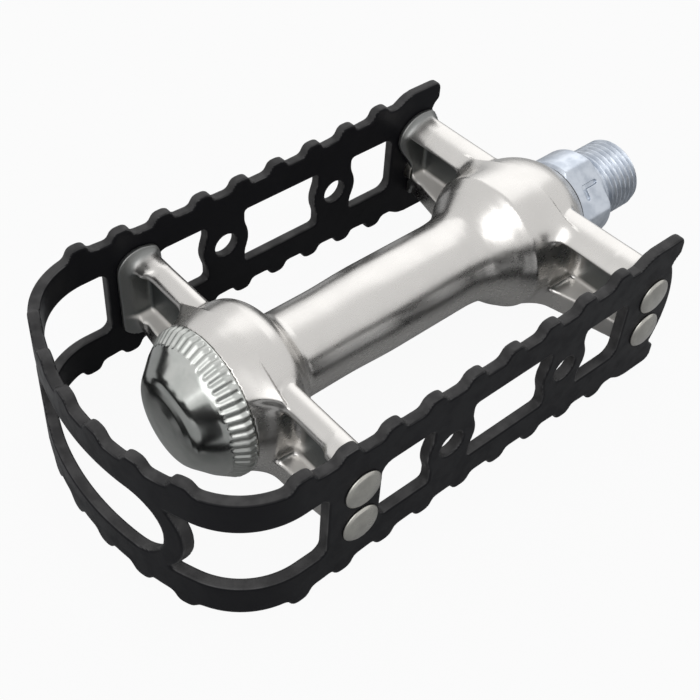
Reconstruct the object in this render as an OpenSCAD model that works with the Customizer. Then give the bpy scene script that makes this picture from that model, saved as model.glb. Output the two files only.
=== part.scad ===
// Bicycle pedal with a toothed strip cage, a cast body and loose ball bearings.
// The origin lies on the spindle axis, at the face that meets the crank.
// +X runs along the spindle towards the crank, +Z is up, and all sizes are in millimetres.

/* [Cage] */
// Width over the two cage sides
cage_w = 62; // [58:0.5:68]
// Distance from the crank face to the cage's crank end
cage_gap = 10.8; // [10:0.1:12]
// Distance from the outboard pair of arms to the middle of the bow
bow_reach = 29.64; // [28:0.02:31]
// Thickness of the cage strip
strip_t = 2.1; // [1.8:0.1:2.4]
// Outer radius of the two bends beside the bow
bend_r = 15.1; // [13:0.1:17]
// Half height over the tallest teeth
tooth_top = 15.1; // [14.6:0.1:15.6]
// Height of a tooth above the strip's edge
tooth_h = 1.8; // [1.4:0.1:2.2]
// How much lower the strip's edge is at mid side than at its ends
side_dish = 1.5; // [0.6:0.1:2]
// How much lower the strip's edge is at mid bow than at its bends
bow_dish = 1; // [0:0.1:1.6]
// Half height of the windows in the sides
window_h = 6.25; // [5.5:0.05:6.6]
// Half height of the window in the bow
bow_window_h = 6.5; // [6.4:0.1:6.9]
// Radius of the reflector screw holes
reflector_hole_r = 2.4; // [2:0.1:2.8]

/* [Body] */
// Distance between the two pairs of arms
arm_spacing = 67.5; // [65:0.5:70]
// Largest radius of the boss at the crank end
inboard_boss_r = 13.3; // [13:0.1:14]
// Largest radius of the boss at the cap end
outboard_boss_r = 14; // [13.6:0.1:14.6]
// Radius of the barrel beside the outboard boss
barrel_r = 8.05; // [7.6:0.05:8.5]

/* [Spindle] */
// Major radius of the crank thread, nine sixteenths of an inch across
thread_r = 7.144; // [7:0.001:7.3]
// Length of the crank thread
thread_l = 10.6; // [9.6:0.2:13]
// Radius of the collar
collar_r = 9.05; // [8.8:0.05:9.3]
// Width across the collar's two wrench flats
flat_w = 15; // [14.8:0.1:15.4]
// Width across the flats of the locknut
nut_w = 11; // [10:0.5:12]

/* [Bearings] */
// Diameter of one bearing ball, an eighth of an inch
ball_d = 3.175; // [3:0.025:3.175]
// Number of balls in each bearing
ball_n = 12; // [8:1:12]

/* [Hidden] */
$fn = 96;
tiny = 0.01;
reach = 200;

// Fits
press_gap = 0.02;
run_gap = 0.05;
slip_gap = 0.1;
race_gap = 0.03;

// Places along the spindle axis
cage_end_x = -cage_gap;
inboard_arm_x = -16.56;
outboard_arm_x = inboard_arm_x - arm_spacing;
bow_x = outboard_arm_x - bow_reach;

// Plan of the cage: sides, two bends and a bow that runs tangent to them
side_y = cage_w / 2;
bend_x = outboard_arm_x - bow_reach * 0.373;
bend_y = side_y - bend_r;
bow_depth = bend_x - bow_x;
bow_r = (bend_y * bend_y + bow_depth * bow_depth - bend_r * bend_r) / (2 * (bow_depth - bend_r));
bow_centre_x = bow_x + bow_r;
bow_half_angle = atan2(bend_y, bow_centre_x - bend_x);

// Teeth: the same pitch along the sides and round the bow
side_tooth_n = 9;
bow_tooth_n = 6;
last_tooth_x = cage_end_x - 16.3;
first_tooth_x = bend_x - 0.1;
tooth_pitch = (last_tooth_x - first_tooth_x) / (side_tooth_n - 1);
tooth_pitch_angle = tooth_pitch / bow_r * 180 / PI;
tooth_base = 2.25;
tooth_tip = 1.75;
tooth_round = 1.1;
edge_h = tooth_top - tooth_h;
mid_side_x = (first_tooth_x + last_tooth_x) / 2 + 2.5;
half_side = (last_tooth_x - first_tooth_x) / 2;

// Windows and holes of the cage
boss_ring_r = 5.3;
reflector_a_x = outboard_arm_x + arm_spacing * 0.282;
reflector_b_x = inboard_arm_x - arm_spacing * 0.326;
window_round = 2;
bow_window_l = 17.4;
bow_window_round = 6.4;
bend_window_h = bow_window_h + 0.35;
web_w = 3.4;
rivet_z = 4.13;
rivet_head_r = 3.5;
rivet_head_h = 0.95;
rivet_rim_h = 0.3;
rivet_shank_r = 2.5;
rivet_l = 4.2;

// Arms: each rail and each foot is given as [crank side, cap side, top] with its X, X and Z.
// A flange narrows from its first X, at the spindle axis, to its second X, at the cage
plate_y = side_y - strip_t;
inboard_rail = [-14, -21.3, 9.1];
inboard_foot = [inboard_arm_x + 4.9, inboard_arm_x - 5.1, 9.6];
inboard_flange = [-24.9, -17.9];
inboard_web_x = -15.6;
outboard_rail = [outboard_arm_x + 2.86, outboard_arm_x - 1.94, 8.5];
outboard_foot = [outboard_arm_x + 3.9, outboard_arm_x - 5, 9.8];
outboard_flange = [outboard_arm_x - 4.9, outboard_arm_x - 1.2];
outboard_web_x = outboard_arm_x + 1.06;
arm_bottom = -9.2;
flange_top = -4.4;
pocket_top = 6.3;
pocket_round = 2.6;
flare_y = 22;
foot_y = 26.6;
fillet_r = 12;

// Bearings
ball_r = ball_d / 2;
pitch_r = 6.2;
race_r = ball_r + race_gap;
inboard_ball_x = -12;
outboard_ball_x = outboard_arm_x + 0.04;
cup_r = 8.7;
cup_lip_r = 7.83;
cup_floor_r = 5.9;
cup_back = 3;
cup_front = 2.2;
cone_r = 6.9;
cone_tail = 1.9;
neck_r = pitch_r - race_r;

// Body
mouth_x = -8.5;
barrel_bore_r = 5.6;
cap_rim_x = outboard_arm_x - 5.66;
cap_bore_r = 11.95;
cap_bore_l = 3.1;

// Dust cap
cap_band_r = 13.4;
cap_band_l = 1.6;
cap_shoulder_l = 1.7;
cap_t = 1.3;
cap_nose_l = 9.05;
cap_inner_l = 7.5;
// Cone and nose as shares of the nose's length and of the band's radius, outside and inside
nose_shares = [[0.508, 0.851], [0.674, 0.746], [0.818, 0.657], [0.884, 0.604], [0.928, 0.545],
    [0.967, 0.418], [0.994, 0.224], [1, 0]];
inner_shares = [[0.56, 0.739], [0.76, 0.619], [0.893, 0.522], [0.973, 0.373], [1, 0]];
flute_n = 52;
flute_r = 0.5;

// Spindle and what it carries
collar_x = mouth_x + 0.4;
hub_r = 6.95;
stud_r = 3.5;
shaft_end_r = 4.2;
cone_x = outboard_ball_x - 4.6;
washer_t = 1;
nut_t = 3;
nut_gap = 0.05;
key_w = 1.6;
key_depth = 0.8;
centre_hole_r = 2.2;
centre_hole_depth = 1.6;
washer_x = cone_x - nut_gap - washer_t;
nut_x = washer_x - nut_gap - nut_t;
stud_end_x = nut_x - 0.9;

BLACK = [0.11, 0.11, 0.12];
CAST = [0.72, 0.72, 0.70];
CHROME = [0.80, 0.81, 0.80];
RIVET = [0.74, 0.73, 0.70];
ZINC = [0.66, 0.70, 0.76];
STEEL = [0.55, 0.56, 0.58];
RUBBER = [0.06, 0.06, 0.06];

rivet_nodes = [
    "rivet_near_outboard_upper", "rivet_near_outboard_lower",
    "rivet_near_inboard_upper", "rivet_near_inboard_lower",
    "rivet_far_outboard_upper", "rivet_far_outboard_lower",
    "rivet_far_inboard_upper", "rivet_far_inboard_lower"
];

// Points of an arc about [x, y], from one angle to another
function arc(x, y, r, from, to, steps = 6) =
    [for (i = [0:steps]) let (a = from + (to - from) * i / steps) [x + r * cos(a), y + r * sin(a)]];

// Half height of the tooth tips along a side
function tip_h(x) =
    let (u = min(1, abs(x - mid_side_x) / half_side)) tooth_top - side_dish * (1 - u * u);

// Half height of the tooth tips round the bow
function bow_tip_h(y) = let (u = min(1, abs(y) / side_y * 1.3)) tooth_top - bow_dish * (1 - u * u) - 0.2;

// Mirrors a list of points in the first axis, in reverse order
function mirrored(points) = [for (i = [len(points) - 1:-1:0]) [points[i][0], -points[i][1]]];

// Turns a solid made along +Z so that it lies along +X
module along_x(x = 0) {
    translate([x, 0, 0]) rotate([0, 90, 0]) children();
}

// Turns a flat shape drawn in X and Z into a slab from one Y to another
module slab_y(from, to) {
    translate([0, to, 0]) rotate([90, 0, 0]) linear_extrude(to - from) children();
}

// Turns a flat shape drawn in Y and Z into a slab from one X to another
module slab_x(from, to) {
    translate([from, 0, 0]) rotate([90, 0, 90]) linear_extrude(to - from) children();
}

// Solid of revolution about the spindle axis, from points given as [x, radius]
module turned(points) {
    rotate([0, 90, 0]) rotate_extrude() polygon([for (p = points) [p[1], p[0]]]);
}

// Ball race: a ring of round section about the spindle axis
module race(x) {
    along_x(x) rotate_extrude() translate([pitch_r, 0]) circle(race_r);
}

// Outline of the cage in plan, moved inwards by a distance
module cage_plan(inset) {
    translate([bend_x, inset - side_y]) square([cage_end_x - bend_x + 1, 2 * (side_y - inset)]);
    for (side = [-1, 1]) translate([bend_x, side * bend_y]) circle(bend_r - inset);
    intersection() {
        translate([bow_centre_x, 0]) circle(bow_r - inset, $fn = 180);
        polygon([
            [bow_centre_x, 0],
            [bow_centre_x - reach * cos(bow_half_angle), reach * sin(bow_half_angle)],
            [bow_centre_x - reach * cos(bow_half_angle), -reach * sin(bow_half_angle)]
        ]);
    }
}

// Two teeth back to back, one on the strip's upper edge and one on its lower edge
module tooth_pair(tip) {
    root = tip - tooth_h - 0.4;
    upper = concat(
        [[tooth_base, root]],
        arc(tooth_tip - tooth_round, tip - tooth_round, tooth_round, 10, 90),
        arc(tooth_round - tooth_tip, tip - tooth_round, tooth_round, 90, 170),
        [[-tooth_base, root]]
    );
    polygon(concat(upper, [for (p = upper) [-p[0], -p[1]]]));
}

// Side view of a cage side without its teeth: the dished edge, and the ear at the crank end
module side_view() {
    ear_top = tooth_top - 0.1;
    ear_round = 1.8;
    ear_end = cage_end_x - 0.3;
    end_bulge_r = 21.6;
    upper = concat(
        [[bow_x - 5, edge_h]],
        [for (i = [0:12]) let (x = first_tooth_x - 2 + (last_tooth_x - first_tooth_x + 4) * i / 12)
            [x, tip_h(x) - tooth_h]],
        [[cage_end_x - 11.8, tip_h(last_tooth_x) - tooth_h - 0.1]],
        [[cage_end_x - 10.2, ear_top - 0.9], [cage_end_x - 9, ear_top - 0.35], [cage_end_x - 7.4, ear_top]],
        arc(ear_end - ear_round, ear_top - ear_round, ear_round, 90, 0),
        [[ear_end, 11.4], [ear_end - 1.1, 10.3]],
        [for (p = arc(cage_end_x - end_bulge_r, 0, end_bulge_r, 25, 2, 8)) p]
    );
    polygon(concat(upper, mirrored(upper)));
}

// View along the spindle axis of the cage without its teeth: only the bow is dished
module end_view() {
    upper = [for (i = [-12:12]) let (y = side_y * 0.77 * i / 12) [y, bow_tip_h(y) - tooth_h + 0.2]];
    far_y = side_y + 5;
    polygon(concat(
        [[-far_y, -reach], [-far_y, reach], [-side_y * 0.77, reach]], upper,
        [[side_y * 0.77, reach], [far_y, reach], [far_y, -reach], [side_y * 0.77, -reach]],
        mirrored(upper), [[-side_y * 0.77, -reach]]
    ));
}

// Window in a side, drawn in X and Z, with its ends rounded by different radii
module side_window(from, to, round_from, round_to) {
    polygon(concat(
        arc(from + round_from, window_h - round_from, round_from, 180, 90),
        arc(to - round_to, window_h - round_to, round_to, 90, 0),
        arc(to - round_to, round_to - window_h, round_to, 0, -90),
        arc(from + round_from, round_from - window_h, round_from, -90, -180)
    ));
}

// Black strip cage: one toothed strip bent into a bow, with windows punched through it
module cage() {
    color(BLACK) difference() {
        intersection() {
            linear_extrude(2 * tooth_top, center = true) difference() {
                cage_plan(0);
                cage_plan(strip_t);
                translate([cage_end_x, -reach]) square(2 * reach);
                translate([bend_x + 1, strip_t - side_y]) square([reach, 2 * plate_y]);
            }
            union() {
                intersection() {
                    slab_y(-side_y - 1, side_y + 1) side_view();
                    slab_x(bow_x - 2, cage_end_x + 1) end_view();
                }
                for (i = [0:side_tooth_n - 1]) {
                    x = first_tooth_x + i * tooth_pitch;
                    for (side = [-1, 1])
                        slab_y(side * side_y - 3, side * side_y + 3) translate([x, 0]) tooth_pair(tip_h(x));
                }
                for (i = [0:bow_tooth_n - 1]) {
                    turn = (i - (bow_tooth_n - 1) / 2) * tooth_pitch_angle;
                    translate([bow_centre_x, 0, 0]) rotate([0, 0, turn])
                        slab_x(-bow_r - 2, 4 - bow_r) tooth_pair(bow_tip_h(bow_r * sin(turn)));
                }
            }
        }
        for (side = [-1, 1]) {
            slab_y(side * side_y - 4, side * side_y + 4) difference() {
                union() {
                    side_window(outboard_arm_x + 4.04, reflector_a_x - 4.45, window_round, 0.8);
                    side_window(reflector_a_x + 4.45, reflector_b_x - 4.45, 0.8, 0.8);
                    side_window(reflector_b_x + 4.26, inboard_arm_x - 7.14, 0.8, window_round);
                }
                for (x = [reflector_a_x, reflector_b_x]) translate([x, 0]) circle(boss_ring_r);
            }
            for (x = [reflector_a_x, reflector_b_x])
                translate([x, side * side_y + 4, 0]) rotate([90, 0, 0]) cylinder(r = reflector_hole_r, h = 8);
            for (x = [outboard_arm_x, inboard_arm_x], z = [-rivet_z, rivet_z])
                translate([x, side * side_y + 4, z]) rotate([90, 0, 0])
                    cylinder(r = rivet_shank_r + run_gap, h = 8);
            bend_window(side);
        }
        slab_x(bow_x - 2, bow_x + 9) bow_window();
    }
}

// Window in the middle of the bow, drawn in Y and Z
module bow_window() {
    dy = bow_window_l - bow_window_round;
    dz = bow_window_h - bow_window_round;
    for (y = [-dy, dy], z = [-dz, dz]) translate([y, z]) circle(bow_window_round);
    square([2 * dy, 2 * bow_window_h], center = true);
    square([2 * bow_window_l, 2 * dz], center = true);
}

// Window round one bend: it ends at the web beside the bow's window
module bend_window(side) {
    end_x = outboard_arm_x - 6.56;
    web_y = bow_window_l - bow_window_round;
    round_r = 1.6;
    outline = concat(
        arc(end_x - round_r, bend_window_h - round_r, round_r, 90, 0),
        arc(end_x - round_r, round_r - bend_window_h, round_r, 0, -90),
        [[bow_x - 4, -bend_window_h], [bow_x - 4, bend_window_h]]
    );
    difference() {
        if (side > 0) slab_y(web_y, side_y + 4) polygon(outline);
        else slab_y(-side_y - 4, -web_y) polygon(outline);
        translate([bow_x - 5, side * web_y, 0]) rotate([0, 90, 0])
            cylinder(r = bow_window_round + web_w, h = 40);
    }
}

// Outline of an arm's rail, drawn in X and Z: a crowned top on straight sides
module rail_outline(shape) {
    crown = 0.25;
    corner = 1.7;
    polygon(concat(
        arc(shape[0] - corner, shape[2] - crown - corner, corner, 0, 80),
        [[(shape[0] + shape[1]) / 2, shape[2]]],
        arc(shape[1] + corner, shape[2] - crown - corner, corner, 100, 180),
        [[shape[1], pocket_top - pocket_round], [shape[0], pocket_top - pocket_round]]
    ));
}

// Curve by which a rail grows into its foot, as [place across, Y]
function flare(from, to) =
    [for (a = [0:15:90]) [from + (to - from) * (1 - cos(a)), flare_y + (foot_y - flare_y) * sin(a)]];

// Outline of a foot, drawn in X and Z: straight sides between a round top and a round bottom
module foot_outline(shape) {
    r = (shape[0] - shape[1]) / 2;
    z = shape[2] - r;
    translate([shape[1] + r, 0]) {
        for (end = [-z, z]) translate([0, end]) circle(r);
        square([2 * r, 2 * z], center = true);
    }
}

// Foot of an arm: its outline, kept inside a curve in plan and another in side view
module foot(rail, shape) {
    far_y = plate_y + 1;
    rise = flare(rail[2] - 0.5, shape[2]);
    intersection() {
        slab_y(flare_y, plate_y) foot_outline(shape);
        linear_extrude(2 * reach, center = true) polygon(concat(
            flare(rail[0], shape[0]), [[shape[0], far_y], [shape[1], far_y]],
            [for (i = [6:-1:0]) flare(rail[1], shape[1])[i]]
        ));
        slab_x(-reach, 0) polygon(concat(
            [for (p = rise) [p[1], p[0]]], [[far_y, shape[2]], [far_y, -reach], [flare_y, -reach]]
        ));
    }
}

// Rounded web that fills the corner between a boss and the top of an arm's rail
module boss_fillet(rail, boss_r) {
    top = rail[2] - 0.15;
    centre_z = top + fillet_r;
    centre_y = sqrt(pow(boss_r + fillet_r, 2) - centre_z * centre_z);
    foot_angle = atan2(centre_z, centre_y);
    slab_x(rail[1] + 0.6, rail[1] + 3.6) difference() {
        polygon([[0, 0], [boss_r * cos(foot_angle), boss_r * sin(foot_angle)], [centre_y, top], [centre_y, 0]]);
        translate([centre_y, centre_z]) circle(fillet_r, $fn = 240);
    }
}

// One arm reaching from a boss to a cage side, with a pocket in the face towards the cap
module arm(rail, shape, boss_r, flange, web_x) {
    boss_fillet(rail, boss_r);
    difference() {
        union() {
            slab_y(0, plate_y) {
                rail_outline(rail);
                translate([web_x, arm_bottom]) square([rail[0] - web_x, pocket_top - arm_bottom]);
            }
            foot(rail, shape);
            translate([0, 0, arm_bottom]) linear_extrude(flange_top - arm_bottom)
                polygon([[rail[0] - 1, 0], [flange[0], 0], [flange[1], plate_y], [rail[0] - 1, plate_y]]);
        }
        slab_x(-reach, web_x) polygon(concat(
            [[0, pocket_top]],
            arc(foot_y - pocket_round, pocket_top - pocket_round, pocket_round, 90, 0),
            arc(foot_y - pocket_round, flange_top + pocket_round, pocket_round, 0, -90),
            [[0, flange_top]]
        ));
    }
}

// Outside of the body's barrel and bosses as [x, radius], from the crank end outwards
function body_outline() =
    let (i = inboard_boss_r, o = outboard_boss_r, a = outboard_arm_x, m = mouth_x)
    concat(
        [[mouth_x, i - 4.25], [m - 0.7, i - 3.65], [m - 1.8, i - 2.75], [m - 3.1, i - 1.85],
            [m - 4.5, i - 1.1], [m - 6.1, i - 0.52], [m - 7.8, i - 0.16], [m - 9.5, i], [-23.5, i],
            [-26.4, i - 0.22], [-26.5, i - 0.42]],
        [[-27, i - 0.6], [-27.8, i - 1], [-28.5, i - 1.5], [-29.5, i - 2.35], [-30.8, i - 3.3],
            [-31.9, i - 3.95], [-33, i - 4.4], [-35, i - 4.75], [-37.5, i - 4.9]],
        [[a + 30, barrel_r + 0.35], [a + 18, barrel_r], [a + 9.8, barrel_r], [a + 8.9, barrel_r + 0.25],
            [a + 8.1, barrel_r + 0.8], [a + 7.4, barrel_r + 1.65]],
        [[a + 6.8, o - 3.3], [a + 6.1, o - 2.2], [a + 5.3, o - 1.3], [a + 4.4, o - 0.6], [a + 3.5, o - 0.2],
            [a + 2.4, o], [a - 0.5, o - 0.05], [a - 3, o - 0.25], [a - 5, o - 0.55],
            [cap_rim_x + press_gap, o - 0.7]]
    );

// Cast aluminium body: a barrel with a boss at each end and two pairs of arms
module body() {
    outline = body_outline();
    color(CAST) difference() {
        union() {
            turned(concat(outline, [[cap_rim_x + press_gap, 0], [mouth_x, 0]]));
            for (side = [0, 1]) mirror([0, side, 0]) {
                arm(inboard_rail, inboard_foot, inboard_boss_r, inboard_flange, inboard_web_x);
                arm(outboard_rail, outboard_foot, outboard_boss_r, outboard_flange, outboard_web_x);
            }
        }
        turned([[5, 0], [5, cup_r + press_gap], [inboard_ball_x - cup_back, cup_r + press_gap],
            [inboard_ball_x - cup_back, barrel_bore_r], [outboard_ball_x + cup_back, barrel_bore_r],
            [outboard_ball_x + cup_back, cup_r + press_gap],
            [cap_rim_x + cap_bore_l, cup_r + press_gap], [cap_rim_x + cap_bore_l, cap_bore_r],
            [cap_rim_x - 5, cap_bore_r], [cap_rim_x - 5, 0]]);
        for (x = [outboard_arm_x, inboard_arm_x], z = [-rivet_z, rivet_z], side = [-1, 1])
            translate([x, side * side_y, z]) rotate([90 * side, 0, 0])
                cylinder(r = rivet_shank_r + run_gap, h = rivet_l + slip_gap);
    }
}

// Low-domed rivet that holds a cage side to an arm's foot
module rivet(index) {
    side = index < 4 ? -1 : 1;
    x = index % 4 < 2 ? outboard_arm_x : inboard_arm_x;
    z = index % 2 == 0 ? rivet_z : -rivet_z;
    rise = rivet_head_h - rivet_rim_h;
    dome_r = (rivet_head_r * rivet_head_r + rise * rise) / (2 * rise);
    color(RIVET) translate([x, side * side_y, z]) rotate([-90 * side, 0, 0]) {
        translate([0, 0, -rivet_l]) cylinder(r = rivet_shank_r, h = rivet_l + tiny);
        intersection() {
            cylinder(r = rivet_head_r, h = rivet_head_h);
            translate([0, 0, rivet_head_h - dome_r]) sphere(dome_r, $fn = 160);
        }
    }
}

// Bright cap over the outboard bearing: a fluted band, a cone and a nearly flat nose
module dust_cap() {
    x = cap_rim_x;
    band_x = x - cap_band_l;
    shoulder_x = band_x - cap_shoulder_l;
    shoulder_r = cap_band_r - 1.1;
    color(CHROME) difference() {
        turned(concat([
            [x + cap_bore_l - 0.2, 0], [x + cap_bore_l - 0.2, cap_bore_r - run_gap], [x, cap_bore_r - run_gap],
            [x, cap_band_r - 0.15], [x - 0.2, cap_band_r], [band_x, cap_band_r], [band_x - 0.8, cap_band_r - 0.3],
            [shoulder_x, shoulder_r]
        ], [for (p = nose_shares) [x - p[0] * cap_nose_l, p[1] * cap_band_r]]));
        turned(concat([
            [x + cap_bore_l + 1, 0], [x + cap_bore_l + 1, cap_bore_r - cap_t], [band_x, cap_bore_r - cap_t]
        ], [for (p = inner_shares) [x - p[0] * cap_inner_l, p[1] * cap_band_r]]));
        for (i = [0:flute_n - 1]) rotate([i * 360 / flute_n, 0, 0]) {
            translate([band_x - 0.5, 0, cap_band_r + 0.12]) rotate([0, 90, 0])
                cylinder(r = flute_r, h = cap_band_l + 0.2, $fn = 24);
            translate([shoulder_x - 0.6, 0, shoulder_r - 0.1]) rotate([0, 62, 0])
                cylinder(r = flute_r, h = 2.6, $fn = 24);
        }
    }
}

// Dark ring that closes the mouth of the body round the spindle
module inboard_seal() {
    back = inboard_ball_x + cup_front;
    color(RUBBER) turned([
        [back, hub_r + slip_gap], [mouth_x - 0.5, hub_r + slip_gap],
        [mouth_x - 0.2, hub_r + 0.4], [mouth_x - 0.2, cup_r], [back, cup_r]
    ]);
}

// Steel bearing cup pressed into the body. Its open side faces the way given, 1 towards the crank
module bearing_cup(x, facing) {
    color(STEEL) difference() {
        turned([
            [x - facing * cup_back, cup_floor_r], [x - facing * cup_back, cup_r],
            [x + facing * cup_front, cup_r], [x + facing * cup_front, cup_lip_r + 0.2],
            [x + facing * (cup_front - 0.2), cup_lip_r], [x, cup_lip_r], [x, cup_floor_r]
        ]);
        race(x);
    }
}

// Ring of loose bearing balls
module ball_ring(x) {
    color(STEEL) for (i = [0:ball_n - 1]) rotate([i * 360 / ball_n, 0, 0])
        translate([x, 0, pitch_r]) sphere(ball_r, $fn = 48);
}

// Zinc-plated spindle: crank thread, collar with two wrench flats, fixed cone, shaft and stud
module spindle() {
    end = thread_l;
    color(ZINC) difference() {
        union() {
            intersection() {
                turned([
                    [collar_x, 0], [collar_x, collar_r - 0.9], [collar_x + 0.8, collar_r],
                    [-0.5, collar_r], [0, collar_r - 0.5], [0, 0]
                ]);
                rotate([45, 0, 0]) cube([3 * collar_r, 4 * collar_r, flat_w], center = true);
            }
            turned([
                [-tiny, 0], [-tiny, thread_r], [end - 0.6, thread_r], [end, thread_r - 0.8], [end, 0]
            ]);
            turned([
                [collar_x + tiny, 0], [collar_x + tiny, hub_r], [inboard_ball_x, hub_r],
                [inboard_ball_x, neck_r], [inboard_ball_x - 4, neck_r],
                [outboard_ball_x + 10, shaft_end_r], [outboard_ball_x + 2, shaft_end_r],
                [outboard_ball_x + 2, stud_r], [stud_end_x + 0.5, stud_r],
                [stud_end_x, stud_r - 0.5], [stud_end_x, 0]
            ]);
        }
        race(inboard_ball_x);
        translate([stud_end_x - 1, -key_w / 2, stud_r - key_depth])
            cube([cone_x - stud_end_x + 1, key_w, 2 * key_depth]);
        along_x(end - centre_hole_depth) cylinder(r1 = 0, r2 = centre_hole_r, h = centre_hole_depth + tiny);
    }
}

// Adjustable bearing cone on the spindle's stud
module outboard_cone() {
    color(STEEL) difference() {
        turned([
            [cone_x, stud_r + run_gap], [cone_x, cone_r - 0.3], [cone_x + 0.3, cone_r],
            [outboard_ball_x, cone_r], [outboard_ball_x, neck_r], [outboard_ball_x + cone_tail, neck_r],
            [outboard_ball_x + cone_tail, stud_r + run_gap]
        ]);
        race(outboard_ball_x);
    }
}

// Washer whose tongue sits in the stud's keyway and stops the locknut from turning the cone
module keyed_washer() {
    color(STEEL) {
        along_x(washer_x) difference() {
            cylinder(r = nut_w / 2, h = washer_t);
            translate([0, 0, -1]) cylinder(r = stud_r + run_gap, h = washer_t + 2);
        }
        translate([washer_x, -key_w / 2 + slip_gap, stud_r - key_depth + slip_gap])
            cube([washer_t, key_w - 2 * slip_gap, key_depth + 0.3]);
    }
}

// Hexagonal locknut on the end of the stud
module locknut() {
    corner_r = nut_w / 2 / cos(30);
    color(ZINC) difference() {
        intersection() {
            along_x(nut_x) cylinder(r = corner_r, h = nut_t, $fn = 6);
            along_x(nut_x) cylinder(r1 = corner_r - 0.6, r2 = corner_r + nut_t - 0.6, h = nut_t);
        }
        along_x(nut_x - 1) cylinder(r = stud_r + run_gap, h = nut_t + 2);
    }
}

body();
cage();
for (i = [0:len(rivet_nodes) - 1]) rivet(i);
dust_cap();
inboard_seal();
bearing_cup(inboard_ball_x, 1);  // inboard_cup
bearing_cup(outboard_ball_x, -1);  // outboard_cup
ball_ring(inboard_ball_x);  // inboard_balls
ball_ring(outboard_ball_x);  // outboard_balls
spindle();
outboard_cone();
keyed_washer();
locknut();
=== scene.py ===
"""Look of a bicycle pedal with a toothed strip cage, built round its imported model.

Sizes in the classes are millimetres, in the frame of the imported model: +X runs along the
spindle towards the crank and +Z is up. Meshes are turned into metres when they are made.
"""
from __future__ import annotations

import logging
import math
from dataclasses import dataclass, field
from enum import Enum
from typing import Callable

import bmesh
import bpy
import numpy as np
from mathutils import Matrix, Vector


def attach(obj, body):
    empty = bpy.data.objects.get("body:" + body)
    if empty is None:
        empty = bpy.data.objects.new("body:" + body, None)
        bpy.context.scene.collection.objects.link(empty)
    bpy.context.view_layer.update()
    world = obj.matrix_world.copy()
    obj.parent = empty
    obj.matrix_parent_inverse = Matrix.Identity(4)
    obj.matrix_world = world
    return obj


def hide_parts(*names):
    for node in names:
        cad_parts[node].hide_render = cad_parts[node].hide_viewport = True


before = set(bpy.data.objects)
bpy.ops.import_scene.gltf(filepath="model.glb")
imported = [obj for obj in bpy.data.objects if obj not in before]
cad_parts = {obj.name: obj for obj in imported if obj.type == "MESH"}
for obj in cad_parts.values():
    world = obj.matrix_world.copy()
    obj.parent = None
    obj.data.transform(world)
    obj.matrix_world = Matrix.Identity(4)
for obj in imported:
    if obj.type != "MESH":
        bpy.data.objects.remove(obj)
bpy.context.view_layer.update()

# One millimetre in metres
MM = 0.001
# A distance in millimetres that stands for nothing near
FAR = 9.0
# Strengths of a gentle and of a clear bump
GENTLE = 0.3
CLEAR = 0.6
LOG = logging.getLogger("pedal")

Array = np.ndarray
Rule = Callable[[Array], Array]
Colour = tuple[float, float, float]
Point = tuple[float, float]


class Rider(Enum):
    """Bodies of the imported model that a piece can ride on."""

    PEDAL = "pedal"
    SPINDLE = "spindle"


class Slot(Enum):
    """Material slots of the record."""

    CAST = "cast_aluminium"
    STRIP = "black_strip"
    CAP = "bright_cap"
    RIVET = "rivet_metal"
    ZINC = "zinc_steel"
    STEEL = "bearing_steel"
    RUBBER = "seal_rubber"


@dataclass(frozen=True)
class Layout:
    """Places and sizes that several sub-assemblies share."""

    side_y: float = 31.0
    inboard_x: float = -16.56
    outboard_x: float = -84.06
    mouth_x: float = -8.5
    rivet_z: float = 4.13
    rivet_hole_r: float = 2.55


class Signal:
    """An output socket of a shader, with arithmetic that adds Math nodes."""

    def __init__(self, shader: Shader, socket: bpy.types.NodeSocket) -> None:
        """Wraps a socket.

        Args:
            shader: The shader whose node tree the socket belongs to.
            socket: The output socket.
        """
        self.shader = shader
        self.socket = socket

    def _math(self, operation: str, *values: Signal | float) -> Signal:
        """Adds one Math node.

        Args:
            operation: Name of the Math node's operation.
            values: Its inputs in order, as signals or numbers.

        Returns:
            The node's result.
        """
        made = self.shader.node(
            "ShaderNodeMath", {"operation": operation}, dict(enumerate(values)))
        return Signal(self.shader, made.outputs[0])

    def __add__(self, other: Signal | float) -> Signal:
        """Sum."""
        return self._math("ADD", self, other)

    __radd__ = __add__

    def __sub__(self, other: Signal | float) -> Signal:
        """Difference."""
        return self._math("SUBTRACT", self, other)

    def __rsub__(self, other: Signal | float) -> Signal:
        """Difference with the signal last."""
        return self._math("SUBTRACT", other, self)

    def __mul__(self, other: Signal | float) -> Signal:
        """Product."""
        return self._math("MULTIPLY", self, other)

    __rmul__ = __mul__

    def at_least(self, other: Signal | float) -> Signal:
        """The larger of two values."""
        return self._math("MAXIMUM", self, other)

    def ramp(self, low: float, high: float) -> Signal:
        """Smooth rise from 0 to 1.

        Args:
            low: Value at which the result is still 0.
            high: Value from which the result is 1.

        Returns:
            The eased share.
        """
        made = self.shader.node(
            "ShaderNodeMapRange", {"interpolation_type": "SMOOTHSTEP"},
            {"Value": self, "From Min": low, "From Max": high})
        return Signal(self.shader, made.outputs["Result"])


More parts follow.
